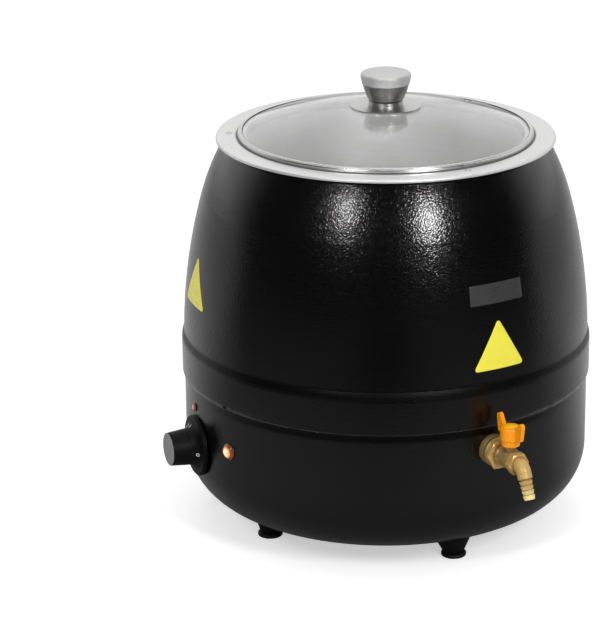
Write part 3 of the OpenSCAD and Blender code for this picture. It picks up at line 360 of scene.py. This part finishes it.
# Steel
steelLook = {
    "patchScale": 22.0, "scratchScale": 55.0,
    "lineShare": 0.6, "lineDarker": 0.86,
    "scratchShare": 0.25, "scratchPaler": 1.2,
    "fineRough": (-0.05, 0.06), "patchRough": 0.05,
    "seamColor": (0.02, 0.02, 0.02), "seamInner": 0.3,
}


def steelMaterial(name, color, roughness, across, lineDepth, around=3.0, metallic=1.0, seams=()):
    # Turned or spun steel: lathe lines in roughness, colour and height, with handling marks, and
    # lines of painted shadow round the axis, whose radius, half width and strength seams gives.
    look = steelLook
    mat, n, shader = newMaterial(name, color, roughness, metallic)
    coords = n.objectCoords()
    lines = n.group(turnedLines, Vector=coords, Across=across, Around=around)
    marks = n.group(handling, Vector=coords, Patch_Scale=look["patchScale"],
                    Scratch_Scale=look["scratchScale"])
    darker = rgba([c * look["lineDarker"] for c in color])
    paler = rgba([min(c * look["scratchPaler"], 1) for c in color])
    tone = n.mixColor(n.times(lines["Lines"], look["lineShare"]), rgba(color), darker)
    tone = n.mixColor(n.times(marks["Scratches"], look["scratchShare"]), tone, paler)
    # painted shadow lines round the axis
    for seamRadius, half, strength in seams:
        x, y, z = n.xyz(coords)
        seamShadow = n.near(n.hypot(x, y), seamRadius, half, look["seamInner"], strength)
        tone = n.mixColor(seamShadow, tone, rgba(look["seamColor"]))
    low, high = look["fineRough"]
    rough = n.plus(n.ramp(lines["Fine"], 0.0, 1.0, roughness + low, roughness + high),
                   n.times(marks["Patches"], look["patchRough"]))
    n.feed(tone, shader.inputs["Base Color"])
    n.feed(rough, shader.inputs["Roughness"])
    n.feed(n.bump(lines["Lines"], lineDepth), shader.inputs["Normal"])
    return mat


steels = {
    "potSteel": dict(color=(0.86, 0.86, 0.85), roughness=0.38, across=900.0, lineDepth=0.00002),
    # painted shadow on the rim where the lid's band rests on it
    "rimSteel": dict(color=(0.76, 0.76, 0.755), roughness=0.44, across=1500.0, lineDepth=0.00001,
                     metallic=0.7, seams=[(0.1274, 0.0014, 0.85)]),
    "rivetSteel": dict(color=(0.5, 0.5, 0.5), roughness=0.3, across=2500.0, lineDepth=0.00002),
    # painted shadow on the lid's band where it meets the glass
    "lidSteel": dict(color=(0.6, 0.6, 0.595), roughness=0.24, across=1800.0, lineDepth=0.00001,
                     seams=[(0.1226, 0.0007, 0.7)]),
    "knobSteel": dict(color=(0.56, 0.555, 0.55), roughness=0.3, across=2600.0, lineDepth=0.00002,
                      around=6.0),
    "capSteel": dict(color=(0.62, 0.62, 0.615), roughness=0.5, across=3000.0, lineDepth=0.00001,
                     around=4.0, metallic=0.72),
    # the knob's cone: a darker copy of the knob steel, as painted shade
    "coneSteel": dict(color=(0.36, 0.355, 0.35), roughness=0.3, across=2200.0, lineDepth=0.00002,
                      around=9.0),
    "zincSteel": dict(color=(0.6, 0.61, 0.64), roughness=0.32, across=2000.0, lineDepth=0.00002),
    "controlSteel": dict(color=(0.6, 0.57, 0.48), roughness=0.3, across=700.0, lineDepth=0.00001),
    "elementSteel": dict(color=(0.24, 0.21, 0.19), roughness=0.45, across=500.0,
                         lineDepth=0.00003),
    "plateAluminium": dict(color=(0.62, 0.62, 0.63), roughness=0.36, across=1200.0,
                           lineDepth=0.00002),
    "ballChrome": dict(color=(0.8, 0.8, 0.8), roughness=0.08, across=1500.0, lineDepth=0.000005),
}

# Brass
brassLook = {
    "lineTurn": (math.radians(90), 0, 0), "lineShift": (0, -0.119, 0),
    "turnedAcross": 3200.0, "castAcross": 900.0, "around": 2.0,
    "patchScale": 130.0, "scratchScale": 160.0,
    "brown": (0.62, 0.55, 0.42), "lineBrown": 0.22,     # times the colour, and its share in the lines
    "grime": (0.12, 0.09, 0.06), "hollowReach": 0.005,
    "hollows": (0.3, 0.9, 0.9, 0.0),    # openness where the painted shade is most and ends, and its shares
    "aged": (0.52, 0.42, 0.3),          # times the colour: painted shade above the given heights
    "edgeRound": 0.0005,
    "fineRough": (-0.05, 0.07), "patchRough": 0.12,
    "patchHeight": 0.5, "depth": 0.00004,
}


def brassMaterial(name, color, tarnish, roughness, cast=False, metallic=0.6, aged=None):
    # Machined brass: tool lines that slant along the tap, brown tarnish in patches, painted shade in
    # the hollows, softened edges, and where aged names two heights, painted shade darkening the metal
    # above them.
    look = brassLook
    mat, n, shader = newMaterial(name, color, roughness, metallic)
    coords = n.add("ShaderNodeMapping", {0: n.objectCoords(), 1: look["lineShift"],
                                         2: look["lineTurn"]}, vector_type="POINT").outputs[0]
    lines = n.group(turnedLines, Vector=coords, Around=look["around"],
                    Across=look["castAcross"] if cast else look["turnedAcross"])
    marks = n.group(handling, Vector=coords, Patch_Scale=look["patchScale"],
                    Scratch_Scale=look["scratchScale"])
    brown, grime, upperShade = [rgba([c * share for c, share in zip(color, look[shade])])
                            for shade in ("brown", "grime", "aged")]
    # painted shade in the hollows, from occlusion
    hollow = n.add("ShaderNodeAmbientOcclusion", {"Distance": look["hollowReach"]},
                   samples=6).outputs["AO"]
    edges = n.add("ShaderNodeBevel", {"Radius": look["edgeRound"]}, samples=4).outputs[0]
    tone = n.mixColor(n.times(marks["Patches"], tarnish), rgba(color), brown)
    tone = n.mixColor(n.times(lines["Lines"], look["lineBrown"]), tone, brown)
    # painted shade: the metal is darker above the given heights, fading in between
    if aged:
        tone = n.mixColor(n.ramp(n.xyz(n.objectCoords())[2], *aged), tone, upperShade)
    # painted shade in the hollows
    tone = n.mixColor(n.ramp(hollow, *look["hollows"]), tone, grime)
    low, high = look["fineRough"]
    rough = n.plus(n.ramp(lines["Fine"], 0.0, 1.0, roughness + low, roughness + high),
                   n.times(marks["Patches"], look["patchRough"]))
    height = n.plus(lines["Lines"], n.times(marks["Patches"], look["patchHeight"]))
    n.feed(tone, shader.inputs["Base Color"])
    n.feed(rough, shader.inputs["Roughness"])
    n.feed(n.bump(height, look["depth"], Normal=edges), shader.inputs["Normal"])
    return mat


brasses = {
    "copperTube": dict(color=(0.75, 0.42, 0.28), tarnish=0.5, roughness=0.3),
    "brass": dict(color=(0.92, 0.61, 0.22), tarnish=0.4, roughness=0.28),
    "darkBrass": dict(color=(0.48, 0.35, 0.15), tarnish=0.6, roughness=0.45),
    "valveBrass": dict(color=(0.6, 0.4, 0.16), tarnish=0.6, roughness=0.34, cast=True),
    # painted darker above these heights, as shade
    "paleBrass": dict(color=(1.0, 0.81, 0.35), tarnish=0.25, roughness=0.36, metallic=0.2,
                      aged=(0.098, 0.106)),
}

# Plastic, rubber, ceramic and print
plasticLook = {
    "patchScale": 45.0, "scratchScale": 90.0, "patchShare": 0.5,
    "grainRough": (-0.05, 0.08), "polish": 0.06,    # polish: roughness that handling takes away
}


def plasticMaterial(name, color, roughness, grain, depth, shade=0.8, specular=0.5):
    # Moulded plastic: fine erosion texture, slight colour drift, worn shine in patches.
    look = plasticLook
    mat, n, shader = newMaterial(name, color, roughness, Specular_IOR_Level=specular)
    coords = n.objectCoords()
    fine = n.noise(coords, grain, 3.0, 0.6)
    patches = n.group(handling, Vector=coords, Patch_Scale=look["patchScale"],
                      Scratch_Scale=look["scratchScale"])["Patches"]
    tone = n.mixColor(n.times(patches, look["patchShare"]), rgba(color),
                      rgba([c * shade for c in color]))
    low, high = look["grainRough"]
    rough = n.minus(n.ramp(fine, *noiseSpan, roughness + low, roughness + high),
                    n.times(patches, look["polish"]))
    n.feed(tone, shader.inputs["Base Color"])
    n.feed(rough, shader.inputs["Roughness"])
    n.feed(n.bump(fine, depth), shader.inputs["Normal"])
    return mat


plastics = {
    "footRubber": dict(color=(0.006, 0.006, 0.006), roughness=0.55, grain=1600.0, depth=0.00008),
    "footPlastic": dict(color=(0.003, 0.003, 0.003), roughness=0.45, grain=1800.0, depth=0.00005,
                        specular=0.3),
    "silicone": dict(color=(0.72, 0.71, 0.66), roughness=0.45, grain=900.0, depth=0.00003,
                     shade=0.9),
    "dialPlastic": dict(color=(0.0012, 0.0012, 0.0012), roughness=0.5, grain=2200.0,
                        depth=0.00003, specular=0.18),
    "lampPlastic": dict(color=(0.015, 0.014, 0.014), roughness=0.3, grain=2000.0, depth=0.00002),
    "ceramic": dict(color=(0.78, 0.74, 0.66), roughness=0.35, grain=900.0, depth=0.00003,
                    shade=0.9),
    "terminalPlastic": dict(color=(0.8, 0.78, 0.7), roughness=0.45, grain=1500.0, depth=0.00003,
                            shade=0.92),
    "glandPlastic": dict(color=(0.02, 0.02, 0.02), roughness=0.48, grain=1700.0, depth=0.00005),
    "seatPlastic": dict(color=(0.85, 0.85, 0.83), roughness=0.4, grain=1200.0, depth=0.00002,
                        shade=0.95),
    "leverPlastic": dict(color=(0.82, 0.28, 0.003), roughness=0.36, grain=1500.0, depth=0.00004,
                         shade=0.9, specular=0.35),
    "leverTop": dict(color=(0.84, 0.42, 0.004), roughness=0.3, grain=1500.0, depth=0.00004,
                     shade=0.92, specular=0.35),
    "stickerYellow": dict(color=(0.74, 0.67, 0.055), roughness=0.3, grain=1500.0, depth=0.00001,
                          shade=0.97),
    "plateBlack": dict(color=(0.036, 0.036, 0.037), roughness=0.32, grain=1800.0, depth=0.00002),
    "printWhite": dict(color=(0.85, 0.85, 0.84), roughness=0.45, grain=2000.0, depth=0.00001,
                       shade=0.95),
}

# Glass
glass = {
    "color": (0.97, 0.975, 0.975), "ior": 1.52,
    "waveScale": 14.0, "waveDepth": 0.0004,
    "smearScale": 45.0, "smears": (0.4, 0.8, 0.015, 0.07),      # noise levels, roughness there
}


def glassMaterial(name, g):
    # Tempered glass: clear, faint waves and smears; light passes through it for shadow rays.
    mat, n, shader = newMaterial(name, g["color"], 0.02, Transmission_Weight=1.0, IOR=g["ior"])
    coords = n.objectCoords()
    wave = n.noise(coords, g["waveScale"], 2.0)
    smear = n.noise(coords, g["smearScale"], 5.0, 0.65)
    n.feed(n.ramp(smear, *g["smears"]), shader.inputs["Roughness"])
    n.feed(n.bump(wave, g["waveDepth"]), shader.inputs["Normal"])
    clear = n.add("ShaderNodeBsdfTransparent", {"Color": rgba(g["color"])})
    shadow = n.add("ShaderNodeLightPath").outputs["Is Shadow Ray"]
    mix = n.add("ShaderNodeMixShader", {0: shadow, 1: shader.outputs[0], 2: clear.outputs[0]})
    n.feed(mix.outputs[0], mat.node_tree.nodes["Material Output"].inputs["Surface"])
    return mat


# Lamp lenses
lensLook = {
    "coat": 0.3, "rimGlow": 0.3,            # rimGlow: times the rim's colour, where no light shows
    "core": (0.3, 0.72),                    # shares of the lens's radius where the light fades
    "cloudScale": 420.0, "cloudRough": (0.08, 0.2),
    "clouds": (0.25, 0.75, 0.65, 1.15),     # noise levels, and times the glow there
    "rings": 22.0, "ringDepth": 0.00012,
}


def lampMaterial(name, rimColor, glow, strength, axis, size):
    # Lamp lens: moulded rings on glossy coloured plastic; the glow fades from the middle to the rim.
    look = lensLook
    mat, n, shader = newMaterial(name, rimColor, 0.12, Coat_Weight=look["coat"],
                                 Emission_Strength=strength)
    coords = n.objectCoords()
    azimuth, height = axis
    across = n.dot(coords, aroundAxis(azimuth + 90, 1, 0))
    share = n.math("DIVIDE", n.hypot(across, n.minus(n.xyz(coords)[2], height)), size)
    cloud = n.noise(coords, look["cloudScale"], 2.0)
    core = n.times(n.ramp(share, *look["core"], 1.0, 0.0),
                   n.ramp(cloud, *look["clouds"]))
    rings = n.math("SINE", n.times(share, look["rings"]))
    unlit = rgba([c * look["rimGlow"] for c in rimColor])
    n.feed(n.mixColor(core, unlit, rgba(glow)), shader.inputs["Emission Color"])
    n.feed(n.mixColor(core, rgba(rimColor), rgba(glow)), shader.inputs["Base Color"])
    n.feed(n.ramp(cloud, *noiseSpan, *look["cloudRough"]), shader.inputs["Roughness"])
    n.feed(n.bump(rings, look["ringDepth"]), shader.inputs["Normal"])
    return mat


lenses = {
    "amberLens": dict(rimColor=(0.17, 0.036, 0.004), glow=(0.95, 0.58, 0.32), strength=0.95,
                      axis=wallAxes["pilotLamp"], size=0.0074),
    "redLens": dict(rimColor=(0.25, 0.05, 0.03), glow=(0.62, 0.34, 0.26), strength=0.32,
                    axis=wallAxes["heatLamp"], size=0.004),
}

# The dial's knob
knob = {
    "color": (0.0025, 0.0025, 0.0025), "paler": 1.6, "palerShare": 0.4,
    "face": (0.22, 0.22, 0.22), "faceAt": 0.2025, "faceBlend": 0.0002,  # from the kettle's axis
    "grain": 2400.0, "depth": 0.00003, "roughness": (0.44, 0.56), "specular": 0.15,
    "patchScale": 60.0, "scratchScale": 120.0,
}


def knobMaterial(name, k, azimuth):
    # Black grained plastic, with a paler satin face where the knob ends.
    mat, n, shader = newMaterial(name, k["color"], 0.36, Specular_IOR_Level=k["specular"])
    coords = n.objectCoords()
    along = n.dot(coords, aroundAxis(azimuth, 1, 0))
    fine = n.noise(coords, k["grain"], 3.0, 0.6)
    patches = n.group(handling, Vector=coords, Patch_Scale=k["patchScale"],
                      Scratch_Scale=k["scratchScale"])["Patches"]
    body = n.mixColor(n.times(patches, k["palerShare"]), rgba(k["color"]),
                      rgba([c * k["paler"] for c in k["color"]]))
    face = n.ramp(along, k["faceAt"] - k["faceBlend"], k["faceAt"])
    n.feed(n.mixColor(face, body, rgba(k["face"])), shader.inputs["Base Color"])
    n.feed(n.ramp(fine, *noiseSpan, *k["roughness"]), shader.inputs["Roughness"])
    n.feed(n.bump(fine, k["depth"]), shader.inputs["Normal"])
    return mat


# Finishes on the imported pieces
finishes = {
    "lidGlass": glassMaterial("lidGlass", glass),
    "knobPlastic": knobMaterial("knobPlastic", knob, wallAxes["dial"][0]),
}
for makeFinish, family in ((coatMaterial, coats), (steelMaterial, steels), (brassMaterial, brasses),
                           (plasticMaterial, plastics), (lampMaterial, lenses)):
    for name, values in family.items():
        finishes[name] = makeFinish(name, **values)

nodeFinish = {      # nodes that look different from the rest of their slot
    "lid_knob_cap": "capSteel", "lid_knob": "coneSteel", "tap_lever_cap": "leverTop",
}


def slotFinish(slot):
    # The slot shell_coat has the finish shellCoat, and so on
    first, *rest = slot.split("_")
    return first + "".join(word.capitalize() for word in rest)


for part in frame["record"]["subparts"]:
    piece = nodes[part["node"]]
    finish = finishes[nodeFinish.get(part["node"], slotFinish(part["material_slot"]))]
    if not piece.material_slots:
        piece.data.materials.append(finish)
    for holder in piece.material_slots:
        holder.material = finish
print("finishes on the packed pieces")


# Plates on the barrel, whose side is an arc turned round the kettle's axis
barrel = {
    "arc": 0.482,           # radius of the side's arc
    "widest": 0.1763,       # radius at its widest
    "widestZ": 0.1664,      # height of its widest place
    "clearance": 0.00002,   # between the side and a plate's back
}


def onBarrel(turn, z, lift):
    # radius = widest - arc + sqrt(arc^2 - (z - widestZ)^2) + lift, turned round by the angle
    rise = z - barrel["widestZ"]
    radius = barrel["widest"] - barrel["arc"] + np.sqrt(barrel["arc"] ** 2 - rise ** 2) + lift
    return np.stack([radius * np.sin(turn), -radius * np.cos(turn), z], axis=-1)


def meshObject(name, points, faces, finish, body, smooth=True):
    mesh = bpy.data.meshes.new(name)
    mesh.from_pydata(points.tolist(), [], faces)
    mesh.validate()
    mesh.update()
    mesh.polygons.foreach_set("use_smooth", np.full(len(mesh.polygons), smooth))
    piece = bpy.data.objects.new(name, mesh)
    bpy.context.scene.collection.objects.link(piece)
    mesh.materials.append(finishes[finish])
    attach(piece, body)


def roundedOutline(corners, radius, steps, count):
    # Each corner becomes an arc of the radius that touches both sides; count even points go round
    corners = np.array(corners, float)
    before = np.roll(corners, 1, axis=0) - corners
    after = np.roll(corners, -1, axis=0) - corners
    before /= np.linalg.norm(before, axis=1, keepdims=True)
    after /= np.linalg.norm(after, axis=1, keepdims=True)
    half = np.arccos((before * after).sum(1)) / 2
    middle = before + after
    middle /= np.linalg.norm(middle, axis=1, keepdims=True)
    centres = corners + middle * (radius / np.sin(half))[:, None]
    sweep = (np.pi / 2 - half)[:, None] * np.linspace(-1, 1, steps)[None, :]
    across = np.stack([middle[:, 1], -middle[:, 0]], axis=1)
    outward = across[:, None] * np.sin(sweep)[..., None] - middle[:, None] * np.cos(sweep)[..., None]
    bends = (centres[:, None] + radius * outward).reshape(-1, 2)
    closed = np.vstack([bends, bends[:1]])
    run = np.concatenate([[0], np.cumsum(np.linalg.norm(np.diff(closed, axis=0), axis=1))])
    places = np.linspace(0, run[-1], count, endpoint=False)
    return np.column_stack([np.interp(places, run, closed[:, k]) for k in (0, 1)])


def curvedPlate(name, corners, place, p, finish):
    # A rounded outline wrapped on the barrel as rings of points: from the middle of the closed
    # back out to the rim, up the side, over a rounded edge and in to the middle of the front
    outline = roundedOutline(corners, p["corner"], p["cornerSteps"], p["outlinePoints"])
    count = len(outline)
    middle = outline.mean(0)
    arm = outline - middle
    reach = np.linalg.norm(arm, axis=1, keepdims=True)
    thickness, edge = p["thickness"], p["edge"]

    def ring(share, inset, lift):
        return np.column_stack([middle + arm * (1 - inset / reach) * share, np.full(count, lift)])

    shares = np.linspace(1, 0, p["rings"] + 1)[1:-1]
    layers = [ring(share, 0.0, 0.0) for share in shares[::-1]]
    layers += [ring(1, 0.0, 0.0), ring(1, 0.0, thickness - edge)]
    layers += [ring(1, edge * (1 - math.cos(a)), thickness - edge * (1 - math.sin(a)))
               for a in np.linspace(p["edgeFrom"], math.pi / 2, p["edgeSteps"])]
    layers += [ring(share, edge, thickness) for share in shares]
    points = np.concatenate(layers + [[[*middle, 0.0]], [[*middle, thickness]]])
    azimuth, height = place
    turn = math.radians(azimuth) + points[:, 0] / barrel["widest"]
    solid = onBarrel(turn, height + points[:, 1], points[:, 2] + barrel["clearance"])

    i = np.arange(count)
    j = (i + 1) % count
    low = np.arange(len(layers) - 1)[:, None] * count
    top = (len(layers) - 1) * count
    back, front = top + count, top + count + 1
    faces = np.stack([low + i, low + j, low + count + j, low + count + i], axis=-1)
    faces = faces.reshape(-1, 4).tolist()
    faces += np.column_stack([j, i, np.full(count, back)]).tolist()
    faces += np.column_stack([top + i, top + j, np.full(count, front)]).tolist()
    meshObject(name, solid, faces, finish, "kettle")


def triangle(width, height):
    return [(-width / 2, -height / 2), (width / 2, -height / 2), (0, height / 2)]


def rectangle(width, height):
    return [(-width / 2, -height / 2), (width / 2, -height / 2),
            (width / 2, height / 2), (-width / 2, height / 2)]


signs = {
    "width": 0.050, "height": 0.0425, "thickness": 0.0002, "edge": 0.00008,
    "corner": 0.0022, "cornerSteps": 9, "outlinePoints": 180, "rings": 8,
    "edgeFrom": 0.5, "edgeSteps": 3,                    # first angle on the rounded edge
    "right": (2.2, 0.2095), "left": (-100.0, 0.2345),   # azimuth and height of the middle
}
badge = {
    "width": 0.053, "height": 0.0165, "thickness": 0.0007, "edge": 0.0004,
    "corner": 0.0008, "cornerSteps": 7, "outlinePoints": 240, "rings": 8,
    "edgeFrom": 0.5, "edgeSteps": 3,
    "place": (2.4, 0.2518),
}

for side in ("left", "right"):
    curvedPlate(side + "Sign", triangle(signs["width"], signs["height"]), signs[side], signs,
                "stickerYellow")
curvedPlate("blankBadge", rectangle(badge["width"], badge["height"]), badge["place"], badge,
            "plateBlack")
print("signs and badge ready")

# Numbers on the dial's skirt
dial = {
    "axis": wallAxes["dial"],
    "wall": 0.17765,                        # the skirt's underside, from the kettle's axis
    "flare": 0.008, "flareX": 0.0236, "flareZ": 0.010,   # the skirt's hollow curve
    "zeroAt": 96.0, "oneAt": -4.0, "step": -20.0, "last": 9,    # degrees clockwise from the top
    "textHeight": 0.0037, "textWide": 1.3, "textRadius": 0.0179,
    "digitShare": 0.72,                     # a digit's height, as a share of the letter size
    "ink": 0.00006, "clearance": 0.00002,   # half the ink's thickness, and the gap under it
    "thinner": -0.00009,                    # moves the strokes' outline inwards
    "curveSteps": 4, "longestEdge": 0.0007, "cuts": 2, "mergeWithin": 1e-7,
}


def numberShape(text, d):
    # Points and triangles of one flat number: x runs across it, y up it and z through the ink
    curve = bpy.data.curves.new("number", "FONT")
    curve.body = text
    curve.align_x = "CENTER"
    curve.size = d["textHeight"] / d["digitShare"]
    curve.extrude = d["ink"]
    curve.offset = d["thinner"]
    curve.resolution_u = d["curveSteps"]
    letter = bpy.data.objects.new("number", curve)
    bpy.context.scene.collection.objects.link(letter)
    drawn = letter.evaluated_get(bpy.context.evaluated_depsgraph_get())
    flat = bpy.data.meshes.new_from_object(drawn)
    shape = bmesh.new()
    shape.from_mesh(flat)
    bmesh.ops.remove_doubles(shape, verts=shape.verts, dist=d["mergeWithin"])
    bmesh.ops.triangulate(shape, faces=shape.faces)
    longEdges = [edge for edge in shape.edges if edge.calc_length() > d["longestEdge"]]
    bmesh.ops.subdivide_edges(shape, edges=longEdges, cuts=d["cuts"])
    bmesh.ops.triangulate(shape, faces=shape.faces)
    bmesh.ops.recalc_face_normals(shape, faces=shape.faces)
    shape.to_mesh(flat)
    shape.free()
    points = np.empty(len(flat.vertices) * 3)
    flat.vertices.foreach_get("co", points)
    triangles = np.empty(len(flat.loops), np.int32)
    flat.loops.foreach_get("vertex_index", triangles)
    bpy.data.objects.remove(letter)
    bpy.data.curves.remove(curve)
    bpy.data.meshes.remove(flat)
    return points.reshape(-1, 3), triangles.reshape(-1, 3)


def onSkirt(points, clockMiddle, d):
    # A number's x turns round the dial's axis and its y runs down the hollow curve: the distance
    # from the axis is flareX - (flare - z) sin(phi), and along it flareZ - (flare - z) cos(phi)
    azimuth, height = d["axis"]
    out = np.array(aroundAxis(azimuth, 1, 0))
    right = np.array(aroundAxis(azimuth + 90, 1, 0))
    up = np.array([0, 0, 1.0])
    phiMiddle = math.asin((d["flareX"] - d["textRadius"]) / d["flare"])
    phi = phiMiddle - (points[:, 1] - d["textHeight"] / 2) / d["flare"]
    arm = d["flare"] - (points[:, 2] + d["ink"] + d["clearance"])
    radius = d["flareX"] - arm * np.sin(phi)
    along = d["wall"] + d["flareZ"] - arm * np.cos(phi)
    clock = math.radians(clockMiddle) + points[:, 0] * d["textWide"] / d["textRadius"]
    place = (radius * np.sin(clock))[:, None] * right + (radius * np.cos(clock))[:, None] * up
    return place + along[:, None] * out + height * up


def dialNumbers(d):
    allPoints, allFaces, start = [], [], 0
    for k in range(d["last"] + 1):
        points, faces = numberShape(str(k), d)
        clockMiddle = d["oneAt"] + d["step"] * (k - 1) if k else d["zeroAt"]
        allPoints.append(onSkirt(points, clockMiddle, d))
        allFaces.append(faces + start)
        start += len(points)
    meshObject("dialNumbers", np.concatenate(allPoints), np.concatenate(allFaces).tolist(),
               "printWhite", "thermostat_dial", smooth=False)


dialNumbers(dial)
print("dial numbers ready")

# Light, surroundings and floor
softBoxes = {
    "leftBox": (-25.5, 0.86, 1.22, 6.5),    # degrees from the camera, lower and upper edge, power
    "rightBox": (26.5, 0.72, 1.14, 10.5),
    "width": 0.14,
    "distance": 1.45,       # from the kettle's axis
    "drop": 0.4,            # a box aims at the axis, this far below its own middle
    "topHeight": 2.4,
    "topSize": 1.8,
    "topPower": 9.0,
}
surroundings = {
    "ambient": 0.55,                    # level for matt surfaces
    "behind": (0.0, 0.45, 0.03, 1.0),   # in reflections: from where to where it turns white, levels
    "above": (0.72, 0.98, 0.0, 0.75),   # the same for the white overhead
}
ground = {
    "half": 30.0,
    "color": (0.86, 0.86, 0.86),
    "roughness": 0.9,
    "glow": 0.5,                        # added where the camera sees it
    "front": (0.45, 0.72, 0.28, 0.03),  # in reflections: distances from the axis, levels there
    "side": (0.05, 0.5, 0.0, 0.13),     # distances to either side, levels added there
    "back": (-0.25, 0.3),               # distances behind the axis between which it turns white
}
# Level directions: away from the camera, and to its right
cameraTurn = math.radians(camera["azimuth"])
backward = (-math.sin(cameraTurn), math.cos(cameraTurn), 0)
sideways = (math.cos(cameraTurn), math.sin(cameraTurn), 0)


def areaLamp(name, place, target, width, height, power):
    data = bpy.data.lights.new(name, "AREA")
    data.shape = "RECTANGLE"
    data.size = width
    data.size_y = height
    data.energy = power
    lamp = bpy.data.objects.new(name, data)
    bpy.context.scene.collection.objects.link(lamp)
    aim(lamp, place, target)


def makeSoftBoxes(s):
    for name in ("leftBox", "rightBox"):
        azimuth, low, high, power = s[name]
        middle = (low + high) / 2
        place = aroundAxis(camera["azimuth"] + azimuth, s["distance"], middle)
        areaLamp(name, place, (0, 0, middle - s["drop"]), s["width"], high - low, power)
    areaLamp("topBox", (0, 0, s["topHeight"]), (0, 0, 0), s["topSize"], s["topSize"],
             s["topPower"])


def makeSurroundings(s):
    # White where they are seen or shine through glass, and an even level for matt surfaces. In
    # reflections they are white behind the kettle and overhead, and dark in front.
    world = bpy.data.worlds.new("studio")
    world.use_nodes = True
    bpy.context.scene.world = world
    n = Nodes(world.node_tree)
    path = n.add("ShaderNodeLightPath").outputs
    way = n.add("ShaderNodeTexCoord").outputs["Generated"]
    behind = n.ramp(n.dot(way, backward), *s["behind"])
    above = n.ramp(n.xyz(way)[2], *s["above"])
    reflected = n.times(path["Is Glossy Ray"], n.math("MAXIMUM", behind, above))
    matt = n.times(n.minus(1.0, path["Is Glossy Ray"]), s["ambient"])
    direct = n.math("MAXIMUM", path["Is Camera Ray"], path["Is Transmission Ray"])
    level = n.plus(direct, n.times(n.minus(1.0, direct), n.plus(reflected, matt)))
    backdrop = world.node_tree.nodes["Background"]
    n.feed((1, 1, 1, 1), backdrop.inputs["Color"])
    n.feed(level, backdrop.inputs["Strength"])


def makeFloor(g):
    # In reflections it is grey near the kettle, dark further out in front and white behind.
    half = g["half"]
    mesh = bpy.data.meshes.new("floor")
    mesh.from_pydata([(-half, -half, 0), (half, -half, 0), (half, half, 0), (-half, half, 0)],
                     [], [(0, 1, 2, 3)])
    floor = bpy.data.objects.new("floor", mesh)
    bpy.context.scene.collection.objects.link(floor)
    mat, n, shader = newMaterial("floor", g["color"], g["roughness"], Specular_IOR_Level=0.0)
    path = n.add("ShaderNodeLightPath").outputs
    spot = n.objectCoords()
    reach = n.add("ShaderNodeVectorMath", {0: spot}, operation="LENGTH").outputs["Value"]
    aside = n.math("ABSOLUTE", n.dot(spot, sideways))
    front = n.plus(n.ramp(reach, *g["front"]), n.ramp(aside, *g["side"]))
    level = n.math("MAXIMUM", front, n.ramp(n.dot(spot, backward), *g["back"]))
    darker = n.times(path["Is Glossy Ray"], n.minus(1.0, level))
    n.feed(n.mixColor(darker, rgba(g["color"]), (0, 0, 0, 1)), shader.inputs["Base Color"])
    glow = n.add("ShaderNodeEmission", {"Color": (1, 1, 1, 1),
                                        "Strength": n.times(path["Is Camera Ray"], g["glow"])})
    both = n.add("ShaderNodeAddShader", {0: shader.outputs[0], 1: glow.outputs[0]})
    n.feed(both.outputs[0], mat.node_tree.nodes["Material Output"].inputs["Surface"])
    mesh.materials.append(mat)


makeSoftBoxes(softBoxes)
makeSurroundings(surroundings)
makeFloor(ground)
bpy.context.scene.view_settings.view_transform = "Standard"
print("studio ready")
